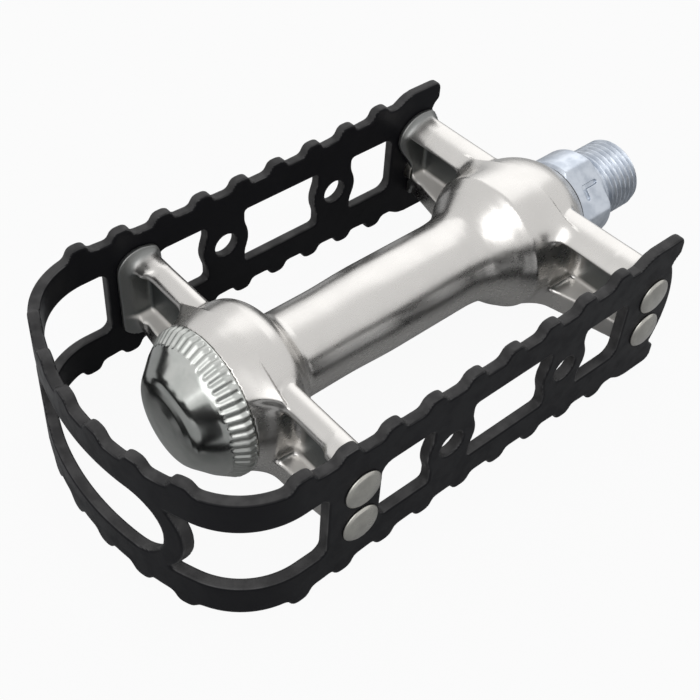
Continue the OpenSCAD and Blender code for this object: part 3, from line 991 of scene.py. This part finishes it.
    def skin_and_shade(self, p: Array) -> tuple[Array, Array, Array]:
        """Distance to the body and shares of its painted shade and painted light.

        Args:
            p: Points.

        Returns:
            Signed distances, the share of painted shade with rougher cast finish (1 in the pockets, 0 on
            polished faces), and the share of painted light on the pockets' floors.
        """
        x, y, z = p[:, 0], np.abs(p[:, 1]), p[:, 2]
        radius = np.interp(x, self.table_x, self.table_r)
        lean = np.interp(x, self.table_x, self.table_s)
        turned = (np.hypot(y, z) - radius) / np.sqrt(1 + lean * lean)
        turned = soft_max(turned, x - self.plan.mouth_x, self.edge_round)
        turned = np.maximum(turned, self.cap_rim_x - x)
        skin_and_shade, pocket_floor_light = np.zeros(len(p)), np.zeros(len(p))
        whole = turned
        for sizes in (self.inboard, self.outboard):
            arm, pocket = self.arm(x, y, z, sizes)
            share = ease(sizes.fillet_x + 1.0 - x, 0.0, 1.0)
            top = ease(z, self.pocket_top + self.shoulder_from, sizes.rail_top + self.shoulder_to)
            fillet = sizes.fillet_side + (sizes.fillet_top - sizes.fillet_side) * top
            whole = soft_min(whole, arm, self.edge_round + (fillet - self.edge_round) * share)
            pocket = soft_max(pocket, self.root_t - turned, self.root_round)
            whole = soft_max(whole, -pocket, self.lip_round)
            arm_skin_and_shade, arm_pocket_floor_light = self.skin_shade_and_floor_light(y, z, turned, arm, pocket)
            skin_and_shade, pocket_floor_light = np.maximum(skin_and_shade, arm_skin_and_shade), np.maximum(pocket_floor_light, arm_pocket_floor_light)
        return np.maximum(whole, -self.bores(x, y, z)), skin_and_shade, pocket_floor_light

    def build(self) -> bpy.types.Object:
        """Makes the body, riding with the pedal."""
        wide = self.step * self.grid_rows
        points, origin, shape = grid_of((self.grid_x[0], -wide, -self.grid_z),
                                        (self.grid_x[1], wide, self.grid_z), self.step)
        half = points[:, 1] > 0
        values = np.empty(len(points))
        values[half] = read_rule(lambda p: self.skin_and_shade(p)[0], points[half])
        values = values.reshape(shape)
        middle = shape[1] // 2
        values[:, :middle] = values[:, ::-1][:, :middle]
        verts, quads = surface_net(values, origin, np.full(3, self.step))
        verts, normals = settle(lambda p: self.skin_and_shade(p)[0], verts)
        # Shares of painted shade and painted light, kept at the vertices.
        _, skin_and_shade, pocket_floor_light = self.skin_and_shade(verts)
        piece = make_piece("cast_body", verts, quads, normals, {"cast_skin_and_shade": skin_and_shade, "pocket_floor_light_share": pocket_floor_light})
        return self.wardrobe.dress(piece, Slot.CAST, Rider.PEDAL, "body")


@dataclass
class StripCage:
    """Black toothed strip, drawn flat along its own run and then bent round the body.

    Listed are the attributes whose names leave something open.

    Attributes:
        wardrobe: Finishes for the piece.
        plan: Shared places.
        step: Grid step of the mesh.
        side_edge: Half height of the strip between the teeth, at the ends of a side.
        side_dish: How much lower the tooth tips are in the middle of a side.
        bow_dish: How much lower they are in the middle of the bow.
        bow_drop: How much lower the bow's tips are than the sides'.
        bow_rise: How fast the bow's tips rise towards the bends.
        bow_edge_share: Share of the half width over which the bow's edge follows its tips.
        bow_tooth_lap: How far the bow's teeth go on past its end.
        tooth_root: How far a tooth goes on below its foot.
        end_bulge_r: Radius of the strip's bulged ends.
        end_bulge_h: Half height of that bulge.
        outboard_ring: From the outboard rivets to the first reflector hole.
        inboard_ring: From the inboard rivets to the second one.
        ring_margin: From a reflector hole to the windows beside it.
        ring_end_margin: From the second hole to the window at the crank end.
        ring_r: Radius of the ring round a reflector hole.
        bow_window_reach: Share of a bend's run up to which the bow's window is looked for.
        bow_web: Width of the webs beside the bow's window.
        bend_margin: From the outboard rivets to the window round the bend.
    """

    wardrobe: Wardrobe
    plan: Layout = Layout()
    step: float = 0.37
    end_x: float = -10.8
    length: float = 102.9
    strip_t: float = 2.1
    bend_r: float = 15.1
    bend_x: float = -95.12
    side_edge: float = 13.3
    side_dish: float = 1.5
    bow_dish: float = 1.0
    bow_drop: float = 0.2
    bow_rise: float = 1.3
    bow_edge_share: float = 0.77
    bow_tooth_lap: float = 2.0
    tooth_top: float = 15.1
    tooth_h: float = 1.8
    tooth_half_w: float = 1.72
    tooth_root: float = 1.6
    flank_lean: float = 0.24
    flank_cosine: float = 0.972
    first_tooth_x: float = -95.22
    last_tooth_x: float = -27.1
    side_teeth: int = 9
    bow_teeth: int = 6
    end_bulge_r: float = 21.6
    end_bulge_h: float = 9.2
    window_h: float = 6.25
    window_round: float = 2.0
    ring_window_round: float = 0.8
    outboard_margin: float = 4.04
    inboard_margin: float = 7.14
    outboard_ring: float = 19.04
    inboard_ring: float = 22.0
    ring_margin: float = 4.45
    ring_end_margin: float = 4.26
    ring_r: float = 5.3
    hole_r: float = 2.4
    bow_window_l: float = 17.4
    bow_window_h: float = 6.6
    bow_window_round: float = 6.3
    bow_window_reach: float = 0.6
    bow_web: float = 3.5
    bend_window_h: float = 6.85
    bend_window_round: float = 1.6
    bend_margin: float = 6.56
    punch_round: float = 0.2
    edge_round: float = 0.55
    ring_round: float = 0.9
    web_round: float = 1.0
    tooth_fillet: float = 1.1
    tooth_round: float = 1.3
    end_round: float = 1.7

    def __post_init__(self) -> None:
        """Works out the plan of the strip."""
        self.bend_y = self.plan.side_y - self.bend_r
        self.bow_x = self.end_x - self.length
        depth = self.bend_x - self.bow_x
        self.bow_r = (self.bend_y ** 2 + depth ** 2 - self.bend_r ** 2) / (2 * (depth - self.bend_r))
        self.centre_x = self.bow_x + self.bow_r
        self.half_angle = math.atan2(self.bend_y, self.centre_x - self.bend_x)
        self.bow_mid = self.bow_r - self.strip_t / 2
        self.bend_mid = self.bend_r - self.strip_t / 2
        self.bow_run = self.half_angle * self.bow_mid
        self.bend_run = (math.pi / 2 - self.half_angle) * self.bend_mid
        self.half_run = self.bow_run + self.bend_run + self.end_x - self.bend_x
        self.pitch = (self.last_tooth_x - self.first_tooth_x) / (self.side_teeth - 1)
        self.pitch_angle = self.pitch / self.bow_r
        self.mid_x = (self.first_tooth_x + self.last_tooth_x) / 2 + 2.5
        self.half_side = (self.last_tooth_x - self.first_tooth_x) / 2

    def bend(self, run: Array, out: Array) -> tuple[Array, Array, Array]:
        """Plan place of points on the strip.

        Args:
            run: Way along the strip from the middle of the bow, positive on the far side.
            out: Way outwards from the strip's middle.

        Returns:
            X, Y and the angle of the outward direction, measured from -X towards +Y.
        """
        s = np.abs(run)
        sign = np.where(run < 0, -1.0, 1.0)
        on_bow = s <= self.bow_run
        on_bend = ~on_bow & (s <= self.bow_run + self.bend_run)
        angle = np.where(on_bow, s / self.bow_mid, np.where(
            on_bend, self.half_angle + (s - self.bow_run) / self.bend_mid, math.pi / 2))
        x = np.where(on_bow, self.centre_x - (self.bow_mid + out) * np.cos(angle), np.where(
            on_bend, self.bend_x - (self.bend_mid + out) * np.cos(angle),
            self.bend_x + s - self.bow_run - self.bend_run))
        y = np.where(on_bow, (self.bow_mid + out) * np.sin(angle),
                     self.bend_y + (self.bend_mid + out) * np.sin(angle))
        return x, sign * y, sign * angle

    def tip(self, x: Array) -> Array:
        """Half height of the tooth tips along a side."""
        u = np.minimum(1.0, np.abs(x - self.mid_x) / self.half_side)
        return self.tooth_top - self.side_dish * (1 - u * u)

    def bow_tip(self, y: Array) -> Array:
        """Half height of the tooth tips round the bow."""
        u = np.minimum(1.0, np.abs(y) / self.plan.side_y * self.bow_rise)
        return self.tooth_top - self.bow_dish * (1 - u * u) - self.bow_drop

    def tooth(self, u: Array, h: Array, tip: Array) -> Array:
        """Distance to one tooth: straight flanks under a rounded tip.

        Args:
            u: Way along the strip from the tooth's middle.
            h: Height from the strip's middle line.
            tip: Height of its tip.

        Returns:
            Signed distances.
        """
        wide = self.tooth_half_w + (tip - h) * self.flank_lean
        flank = (np.abs(u) - wide) * self.flank_cosine
        body = soft_max(flank, h - tip, self.tooth_round)
        return np.maximum(body, tip - self.tooth_h - self.tooth_root - h)

    def outline(self, run: Array, x: Array, y: Array, h: Array) -> Array:
        """Distance to the strip's toothed outline.

        Args:
            run: Way along the strip.
            x: Places along the spindle.
            y: Places across.
            h: Heights from the middle line, all positive.

        Returns:
            Signed distances.
        """
        ear, end = self.tooth_top - 0.1, self.end_x
        side_x = np.linspace(self.first_tooth_x - 2, self.last_tooth_x + 2, 40)
        ear_x = [end - 11.8, end - 10.9, end - 10.1, end - 9.1, end - 7.4, 0.0]
        ear_h = [self.side_edge - 0.05, ear - 1.25, ear - 0.75, ear - 0.3, ear, ear]
        edge_h = np.concatenate([[self.side_edge], self.tip(side_x) - self.tooth_h, ear_h])
        side_edge = np.interp(x, np.concatenate([[self.bow_x], side_x, ear_x]), edge_h)
        bow_edge = self.bow_tip(y) - self.tooth_h + self.bow_drop
        bow_edge = np.where(np.abs(y) < self.plan.side_y * self.bow_edge_share, bow_edge, self.side_edge)
        edge = np.where(np.abs(run) < self.bow_run, np.minimum(bow_edge, self.side_edge), side_edge)
        flat = h - edge
        i = np.clip(np.round((x - self.first_tooth_x) / self.pitch), 0, self.side_teeth - 1)
        at = self.first_tooth_x + i * self.pitch
        side = self.tooth(x - at, h, self.tip(at))
        middle = (self.bow_teeth - 1) / 2
        angle = run / self.bow_mid
        j = np.clip(np.round(angle / self.pitch_angle + middle), 0, self.bow_teeth - 1) - middle
        bow = self.tooth((angle - j * self.pitch_angle) * self.bow_r, h,
                         self.bow_tip(self.bow_r * np.sin(j * self.pitch_angle)))
        teeth = np.where(np.abs(run) < self.bow_run + self.bow_tooth_lap, bow, side)
        shape = soft_min(flat, teeth, self.tooth_fillet)
        bulge = end - self.end_bulge_r + np.sqrt(np.maximum(self.end_bulge_r ** 2 - h * h, 0.0))
        horn_h, horn_x = [self.end_bulge_h, 10.3, 11.4, 20], [end - 2.05, end - 1.5, end - 0.35, end - 0.3]
        horn = np.interp(h, horn_h, horn_x)
        stop = np.where(h < self.end_bulge_h, bulge, horn)
        return soft_max(shape, x - stop, self.end_round)

    def windows(self, run: Array, x: Array, y: Array, h: Array) -> Array:
        """Distance to everything that is punched through the strip.

        Args:
            run: Way along the strip.
            x: Places along the spindle.
            y: Places across.
            h: Heights from the middle line, all positive.

        Returns:
            Signed distances, negative in a window.
        """
        rivets = (self.plan.outboard_x, self.plan.inboard_x)
        rings = (rivets[0] + self.outboard_ring, rivets[1] - self.inboard_ring)
        wide, tight = self.window_round, self.ring_window_round
        spans = ((rivets[0] + self.outboard_margin, rings[0] - self.ring_margin, wide, tight),
                 (rings[0] + self.ring_margin, rings[1] - self.ring_margin, tight, tight),
                 (rings[1] + self.ring_end_margin, rivets[1] - self.inboard_margin, tight, wide))
        found = np.full(len(x), FAR)
        for start, stop, r0, r1 in spans:
            r = np.where(x < (start + stop) / 2, r0, r1)
            dx = np.maximum(start + r - x, x - (stop - r))
            found = np.minimum(found, round_box(dx, h - (self.window_h - r), r))
        for place in rings:
            away = np.hypot(x - place, h)
            found = soft_max(found, self.ring_r - away, self.ring_round)
            found = np.minimum(found, away - self.hole_r)
        for place in rivets:
            away = np.hypot(x - place, h - self.plan.rivet_z)
            found = np.minimum(found, away - self.plan.rivet_hole_r)
        across = np.abs(y)
        web_y = self.bow_window_l - self.bow_window_round
        r = self.bow_window_round
        bow = round_box(across - web_y, h - (self.bow_window_h - r), r)
        bow = np.where(np.abs(run) < self.bow_run + self.bend_run * self.bow_window_reach, bow, FAR)
        r = self.bend_window_round
        bend = round_box(x - (rivets[0] - self.bend_margin - r), h - (self.bend_window_h - r), r)
        web = self.bow_window_round + self.bow_web - np.hypot(across - web_y, h)
        bend = np.maximum(soft_max(bend, web, self.web_round), web_y - across)
        return np.minimum(found, np.minimum(bow, bend))

    def rule(self, p: Array) -> Array:
        """Distance to the strip, in its own (run, out, height) places."""
        run, out, h = p[:, 0], p[:, 1], np.abs(p[:, 2])
        x, y, _ = self.bend(run, out)
        flat = soft_max(self.outline(run, x, y, h), -self.windows(run, x, y, h), self.punch_round)
        return soft_max(flat, np.abs(out) - self.strip_t / 2, self.edge_round)

    def build(self) -> bpy.types.Object:
        """Makes the cage, riding with the pedal."""
        reach, half_t, high = self.half_run + 1.0, self.strip_t / 2, self.tooth_top + 0.5
        points, origin, shape = grid_of((-reach, -half_t - 0.9 * self.step, -high),
                                        (reach, half_t + self.step, high), self.step)
        values = read_rule(self.rule, points).reshape(shape)
        verts, quads = surface_net(values, origin, np.full(3, self.step))
        verts, slope = settle(self.rule, verts)
        x, y, angle = self.bend(verts[:, 0], verts[:, 1])
        out = np.stack([-np.cos(angle), np.sin(angle), np.zeros_like(angle)], axis=1)
        along = np.stack([np.sin(angle), np.cos(angle), np.zeros_like(angle)], axis=1)
        normals = slope[:, :1] * along + slope[:, 1:2] * out
        normals[:, 2] += slope[:, 2]
        cut = np.hypot(slope[:, 0], slope[:, 2])
        wear = (1.0 - np.maximum(np.abs(slope[:, 1]), cut)) / (1.0 - math.sqrt(0.5))
        bent = np.stack([x, y, verts[:, 2]], axis=1)
        piece = make_piece("strip_cage", bent, quads, normals, {"edge_wear": wear, "cut_face": cut})
        return self.wardrobe.dress(piece, Slot.STRIP, Rider.PEDAL, "cage")


@dataclass
class DustCap:
    """Bright cap: a fluted band and shoulder, a cone and a bevelled nose."""

    wardrobe: Wardrobe
    rim_x: float = -89.72
    band_r: float = 13.4
    plug_r: float = 11.9
    plug_l: float = 2.9
    hollow_r: float = 10.65
    edge_reach: float = 0.32
    longest_piece: float = 0.3
    flutes: int = 52
    flute_depth: float = 0.34
    groove_power: float = 1.3
    flute_start: tuple[float, float] = (0.25, 0.7)
    flute_end: tuple[float, float] = (3.5, 4.1)
    flute_foot_r: tuple[float, float] = (11.2, 11.7)

    def band(self, x: Array, r: Array) -> Array:
        """Share of the flutes' full depth at places on the plain cap."""
        way = self.rim_x - x
        along = ease(way, *self.flute_start) * (1 - ease(way, *self.flute_end))
        return along * ease(r, *self.flute_foot_r)

    def fluted(self, x: Array, r: Array, angle: Array) -> Array:
        """Radius with the flutes of the band and shoulder.

        Args:
            x: Places along the spindle.
            r: Radii of the plain cap.
            angle: Angles round the spindle.

        Returns:
            The fluted radii.
        """
        groove = (0.5 + 0.5 * np.cos(self.flutes * angle)) ** self.groove_power
        return r - self.flute_depth * self.band(x, r) * groove

    def build(self) -> bpy.types.Object:
        """Makes the cap, riding with the pedal."""
        x, b, end = self.rim_x, self.band_r, self.rim_x + self.plug_l
        outside = [(end, self.plug_r), (x + 0.02, self.plug_r), (x, b - 0.1), (x - 0.5, b),
                   (x - 1.7, b - 0.05), (x - 3.3, b - 1.1), (x - 4.6, 11.4), (x - 6.1, 10), (x - 7.4, 8.8),
                   (x - 8.0, 8.1), (x - 8.4, 7.3), (x - 8.75, 5.6), (x - 9, 3), (x - 9.05, 0.0)]
        rounded = eased(outside, self.edge_reach)
        dense = []
        for p, q in zip(rounded, rounded[1:]):
            n = max(1, int(math.hypot(q[0] - p[0], q[1] - p[1]) / self.longest_piece))
            dense += [(p[0] + (q[0] - p[0]) * i / n, p[1] + (q[1] - p[1]) * i / n) for i in range(n)]
        inside = [(x - 7.5, 0.0), (x - 7.3, 5.0), (x - 6.7, 7.0), (x - 5.7, 8.3), (x - 4.2, 9.9),
                  (x - 1.6, self.hollow_r), (end, self.hollow_r), (end, self.plug_r)]
        turns = self.flutes * 12
        verts, faces = lathe(dense + [outside[-1]], turns, self.fluted)
        inner_verts, inner_faces = lathe(inside, turns)
        faces += [[i + len(verts) for i in face] for face in inner_faces]
        verts = np.concatenate([verts, inner_verts])
        fluted = self.band(verts[:, 0], np.hypot(verts[:, 1], verts[:, 2]))
        piece = make_piece("dust_cap_bright", verts, faces, None, {"fluted": fluted})
        weld(piece)
        return self.wardrobe.dress(piece, Slot.CAP, Rider.PEDAL, "dust_cap")


@dataclass
class Rivets:
    """Eight rivets with low crowned heads."""

    wardrobe: Wardrobe
    plan: Layout = Layout()
    head_r: float = 3.5
    head_h: float = 0.93
    shank_r: float = 2.5
    shank_l: float = 3.3
    edge_reach: float = 0.16
    turns: int = 64

    def build(self) -> list[bpy.types.Object]:
        """Makes the rivets, riding with the pedal."""
        line = [(-self.shank_l, 0.0), (-self.shank_l, self.shank_r), (0.0, self.shank_r), (0.0, self.head_r),
                (0.28, self.head_r), (0.62, self.head_r - 0.45), (0.8, self.head_r - 1.4),
                (self.head_h, 0.8), (self.head_h, 0.0)]
        verts, faces = lathe(eased(line, self.edge_reach), self.turns)
        side_y, rivet_z = self.plan.side_y, self.plan.rivet_z
        made = []
        for side, side_name in ((-1, "near"), (1, "far")):
            for x, end_name in ((self.plan.outboard_x, "outboard"), (self.plan.inboard_x, "inboard")):
                for z, height_name in ((rivet_z, "upper"), (-rivet_z, "lower")):
                    y = side * (side_y + verts[:, 0])
                    placed = np.stack([x + verts[:, 1], y, z + verts[:, 2]], axis=1)
                    name = f"rivet_{side_name}_{end_name}_{height_name}"
                    piece = make_piece(name.replace("rivet", "rivet_head"), placed, faces)
                    weld(piece)
                    made.append(self.wardrobe.dress(piece, Slot.RIVET, Rider.PEDAL, name))
        return made


@dataclass
class Spindle:
    """Zinc-plated spindle: helical crank thread, collar with two flats, shaft and stud."""

    wardrobe: Wardrobe
    thread_r: float = 7.144
    thread_l: float = 10.6
    thread_depth: float = 0.72
    thread_turns: int = 120
    rows_per_pitch: int = 16
    pitch: float = 1.27
    crest_share: float = 0.1
    flank_share: float = 0.8
    run_in: tuple[float, float] = (0.3, 1.6)
    end_chamfer: float = 0.85
    end_face_r: float = 5.9
    centre_hole_r: float = 2.3
    centre_hole_depth: float = 1.6
    collar_x: float = -8.1
    collar_r: float = 9.05
    collar_step: float = 0.17
    collar_reach: float = 9.5
    back_chamfer: float = 0.9
    face_chamfer: float = 0.5
    chamfer_slant: float = 0.707
    corner_round: float = 0.3
    chamfer_round: float = 0.2
    flat_w: float = 15.0
    letter: tuple[tuple[Point, Point], ...] = (((-4.7, 0.9), (-1.5, 0.9)), ((-4.7, 0.9), (-4.7, -1.3)))
    letter_depth: float = 0.5
    letter_round: float = 0.12
    stroke_r: float = 0.47
    hub_r: float = 6.95
    ball_x: float = -12.0
    ball_ring_r: float = 6.2
    race_r: float = 1.6175
    race_angle: float = 1.2
    shaft_from: Point = (-16.0, 4.58)
    shaft_to: Point = (-74.02, 4.2)
    stud_x: float = -82.02
    stud_r: float = 3.5
    stud_end_x: float = -93.65
    stud_chamfer: float = 0.5

    def collar_rule(self, p: Array) -> Array:
        """Distance to the collar with its two flats and its side letter."""
        x, y, z = p.T
        rho = np.hypot(y, z)
        back = (rho + self.collar_x - x - self.collar_r + self.back_chamfer) * self.chamfer_slant
        face = (rho + x - self.collar_r + self.face_chamfer) * self.chamfer_slant
        ring = soft_max(rho - self.collar_r, self.collar_x - x, self.corner_round)
        for cut in (back, face, x):
            ring = soft_max(ring, cut, self.chamfer_round)
        across = (z - y) * math.sqrt(0.5)
        up = (z + y) * math.sqrt(0.5)
        body = soft_max(ring, np.abs(across) - self.flat_w / 2, self.corner_round)
        strokes = np.full(len(p), FAR)
        for (x0, u0), (x1, u1) in self.letter:
            length = math.hypot(x1 - x0, u1 - u0)
            dx, du = (x1 - x0) / length, (u1 - u0) / length
            t = np.clip((x - x0) * dx + (up - u0) * du, 0.0, length)
            strokes = np.minimum(strokes, np.hypot(x - x0 - t * dx, up - u0 - t * du) - self.stroke_r)
        letter = np.maximum(strokes, self.flat_w / 2 - self.letter_depth - across)
        return soft_max(body, -letter, self.letter_round)

    def build_collar(self) -> bpy.types.Object:
        """Makes the collar."""
        step, reach = self.collar_step, self.collar_reach
        points, origin, shape = grid_of((self.collar_x - 2 * step, -reach, -reach),
                                        (2 * step, reach, reach), step)
        values = read_rule(self.collar_rule, points).reshape(shape)
        verts, quads = surface_net(values, origin, np.full(3, step))
        verts, normals = settle(self.collar_rule, verts, limit=0.1)
        piece = make_piece("spindle_collar", verts, quads, normals)
        return self.wardrobe.dress(piece, Slot.ZINC, Rider.SPINDLE, "spindle")

    def threaded(self, x: Array, r: Array, angle: Array) -> Array:
        """Radius with the helical crank thread and its lead-in chamfer.

        Args:
            x: Places along the spindle.
            r: Radii of the plain stub.
            angle: Angles round the spindle.

        Returns:
            The threaded radii.
        """
        phase = (x / self.pitch - angle / (2 * math.pi)) % 1.0
        saw = np.abs(phase - 0.5) * 2
        share = np.clip((saw - self.crest_share) / self.flank_share, 0.0, 1.0)
        depth = self.thread_depth * share * ease(x, *self.run_in)
        cut = np.minimum(self.thread_r - depth, self.thread_r + self.thread_l - x - self.end_chamfer)
        return np.where(r > self.thread_r - 0.1, cut, r)

    def build_thread(self) -> bpy.types.Object:
        """Makes the crank thread as one helical surface with closed ends."""
        end, start, hole_r = self.thread_l, -0.1, self.centre_hole_r
        rows = int(end / self.pitch * self.rows_per_pitch)
        line = [(start, 0.0)] + [(x, self.thread_r) for x in np.linspace(start, end, rows + 1)]
        line += [(end, self.end_face_r), (end, hole_r), (end - 0.12, hole_r - 0.15),
                 (end - self.centre_hole_depth, 0.0)]
        verts, faces = lathe(line, self.thread_turns, self.threaded)
        piece = make_piece("crank_thread", verts, faces)
        weld(piece, 40.0)
        return self.wardrobe.dress(piece, Slot.ZINC, Rider.SPINDLE, "spindle")

    def build_shaft(self) -> bpy.types.Object:
        """Makes the fixed cone, the shaft and the stud inside the body."""
        groove = [(self.ball_x - self.race_r * math.sin(a), self.ball_ring_r - self.race_r * math.cos(a))
                  for a in np.linspace(-self.race_angle, 0.0, 9)]
        start = self.collar_x + 0.2
        line = [(start, 0.0), (start, self.hub_r), (groove[0][0], self.hub_r)] + groove
        line += [self.shaft_from, self.shaft_to, (self.stud_x, self.shaft_to[1]), (self.stud_x, self.stud_r),
                 (self.stud_end_x + self.stud_chamfer, self.stud_r),
                 (self.stud_end_x, self.stud_r - self.stud_chamfer), (self.stud_end_x, 0.0)]
        verts, faces = lathe(line, 72)
        piece = make_piece("spindle_shaft", verts, faces)
        weld(piece, 35.0)
        return self.wardrobe.dress(piece, Slot.ZINC, Rider.SPINDLE, "spindle")

    def build(self) -> list[bpy.types.Object]:
        """Makes the three pieces of the spindle."""
        return [self.build_collar(), self.build_thread(), self.build_shaft()]


@dataclass
class Seal:
    """Black rubber ring in the inboard mouth, with a lip in the gap before the collar."""

    wardrobe: Wardrobe
    plan: Layout = Layout()
    back_x: float = -9.8
    lip_x: float = -8.18
    inner_r: float = 7.03
    outer_r: float = 8.7
    lip_r: float = 8.97
    clearance: float = 0.03

    def build(self) -> bpy.types.Object:
        """Makes the seal, riding with the pedal."""
        step_x = self.plan.mouth_x + self.clearance
        line = [(self.back_x, self.outer_r), (step_x, self.outer_r),
                (step_x, self.lip_r), (self.lip_x, self.lip_r - 0.12),
                (self.lip_x, self.inner_r + 0.5), (self.lip_x - 0.4, self.inner_r),
                (self.back_x, self.inner_r), (self.back_x, self.outer_r)]
        verts, faces = lathe(line, 96)
        piece = make_piece("rubber_seal", verts, faces)
        weld(piece, 30.0)
        return self.wardrobe.dress(piece, Slot.RUBBER, Rider.PEDAL, "inboard_seal")


@dataclass
class InnerParts:
    """Cups, balls, cone, washer and locknut, which keep their CAD solids."""

    wardrobe: Wardrobe
    ground: tuple[str, ...] = ("inboard_cup", "outboard_cup", "inboard_balls", "outboard_balls",
                               "outboard_cone", "keyed_washer")
    plated: tuple[str, ...] = ("locknut",)

    def build(self) -> None:
        """Puts their finishes on."""
        for nodes, slot in ((self.ground, Slot.STEEL), (self.plated, Slot.ZINC)):
            for node in nodes:
                self.wardrobe.repaint(node, slot)


@dataclass(frozen=True)
class Lamp:
    """A square soft lamp: its place and side in metres, and its power in watts."""

    name: str
    at: tuple[float, float, float]
    size: float
    power: float

    def build(self, target: tuple[float, float, float]) -> None:
        """Makes the lamp.

        Args:
            target: The place in metres that it faces.
        """
        data = bpy.data.lights.new(self.name, "AREA")
        data.size = self.size
        data.energy = self.power
        lamp = bpy.data.objects.new(self.name, data)
        lamp.location = self.at
        lamp.rotation_euler = (Vector(target) - Vector(self.at)).to_track_quat("-Z", "Y").to_euler()
        bpy.context.scene.collection.objects.link(lamp)


@dataclass
class Studio:
    """Pale floor, soft lamps, a white backdrop and the camera."""

    floor_z: float = -15.1
    floor_half: float = 3.0
    floor_grey: Colour = (0.50, 0.50, 0.50)
    floor_white: float = 0.94
    mirrored_less: float = 0.9
    white: Colour = (1.0, 1.0, 1.0)
    sky: Colour = (0.96, 0.98, 1.0)
    ambient: float = 0.55
    target: tuple[float, float, float] = (-0.055, 0.0, 0.0)
    lamps: tuple[Lamp, ...] = (Lamp("key_lamp", (-0.50, -0.22, 0.58), 0.62, 2.0),
                               Lamp("fill_lamp", (0.45, 0.35, 0.5), 0.7, 1.1))
    camera_at: tuple[float, float, float] = (-160.76, -105.57, 144.27)
    camera_turn: tuple[float, float, float] = (2.197, -0.76, 0.366)
    focal_px: float = 1171.0
    centre_px: tuple[float, float] = (290.165, 254.561)
    frame_px: float = 700.0
    sensor: float = 36.0

    def seen(self, shader: Shader) -> Signal:
        """Share of white that camera, mirror and glass rays get."""
        path = shader.node("ShaderNodeLightPath")
        camera = Signal(shader, path.outputs["Is Camera Ray"])
        glossy = Signal(shader, path.outputs["Is Glossy Ray"])
        through = Signal(shader, path.outputs["Is Transmission Ray"])
        return camera.at_least(glossy).at_least(through)

    def build_floor(self) -> None:
        """Makes the floor, white to the camera but for the object's shadow."""
        mesh = bpy.data.meshes.new("floor")
        size, z = self.floor_half, self.floor_z * MM
        mesh.from_pydata([(-size, -size, z), (size, -size, z), (size, size, z), (-size, size, z)], [],
                         [(0, 1, 2, 3)])
        floor = bpy.data.objects.new("floor", mesh)
        bpy.context.scene.collection.objects.link(floor)
        shader = Shader(bpy.data.materials.new("floor_white"))
        plain = shader.node("ShaderNodeBsdfDiffuse", {}, {"Color": self.floor_grey})
        white = shader.node("ShaderNodeEmission", {}, {"Color": self.white, "Strength": 1.0})
        path = shader.node("ShaderNodeLightPath")
        glossy = Signal(shader, path.outputs["Is Glossy Ray"])
        share = self.seen(shader) * (self.floor_white - self.mirrored_less * glossy)
        made = shader.node("ShaderNodeMixShader", {}, {0: share, 1: plain.outputs[0], 2: white.outputs[0]})
        shader.feed(shader.output.inputs["Surface"], made.outputs[0])
        mesh.materials.append(shader.owner)

    def build_world(self) -> None:
        """Makes the soft ambient light, with white where it is seen."""
        world = bpy.data.worlds.new("studio")
        bpy.context.scene.world = world
        shader = Shader(world)
        soft = shader.node("ShaderNodeBackground", {}, {"Color": self.sky, "Strength": self.ambient})
        white = shader.node("ShaderNodeBackground", {}, {"Color": self.white})
        made = shader.node("ShaderNodeMixShader", {},
                           {0: self.seen(shader), 1: soft.outputs[0], 2: white.outputs[0]})
        shader.feed(shader.output.inputs["Surface"], made.outputs[0])

    def build_camera(self) -> None:
        """Makes the camera at the photograph's place, turn and framing."""
        data = bpy.data.cameras.new("camera")
        data.sensor_fit = "HORIZONTAL"
        data.sensor_width = self.sensor
        data.lens = self.sensor * self.focal_px / self.frame_px
        data.shift_x = (self.frame_px / 2 - self.centre_px[0]) / self.frame_px
        data.shift_y = -(self.frame_px / 2 - self.centre_px[1]) / self.frame_px
        data.clip_start, data.clip_end = 0.01, 20.0
        camera = bpy.data.objects.new("camera", data)
        bpy.context.scene.collection.objects.link(camera)
        turn = Vector(self.camera_turn)
        rows = Matrix.Rotation(turn.length, 3, turn.normalized())
        place = Matrix((rows[0], -rows[1], -rows[2])).transposed().to_4x4()
        place.translation = Vector(self.camera_at) * MM
        camera.matrix_world = place
        bpy.context.scene.camera = camera

    def build(self) -> None:
        """Makes the whole studio."""
        self.build_floor()
        self.build_world()
        for lamp in self.lamps:
            lamp.build(self.target)
        self.build_camera()
        bpy.context.scene.view_settings.view_transform = "Standard"


def main() -> None:
    """Builds the pedal's sub-assemblies and the studio in order."""
    logging.basicConfig(level=logging.INFO, format="%(message)s")
    studio = Studio()
    studio.build()
    wardrobe = Wardrobe()
    CastBody(wardrobe).build()
    StripCage(wardrobe).build()
    DustCap(wardrobe).build()
    Rivets(wardrobe).build()
    Spindle(wardrobe).build()
    Seal(wardrobe).build()
    InnerParts(wardrobe).build()


if __name__ == "__main__":
    main()
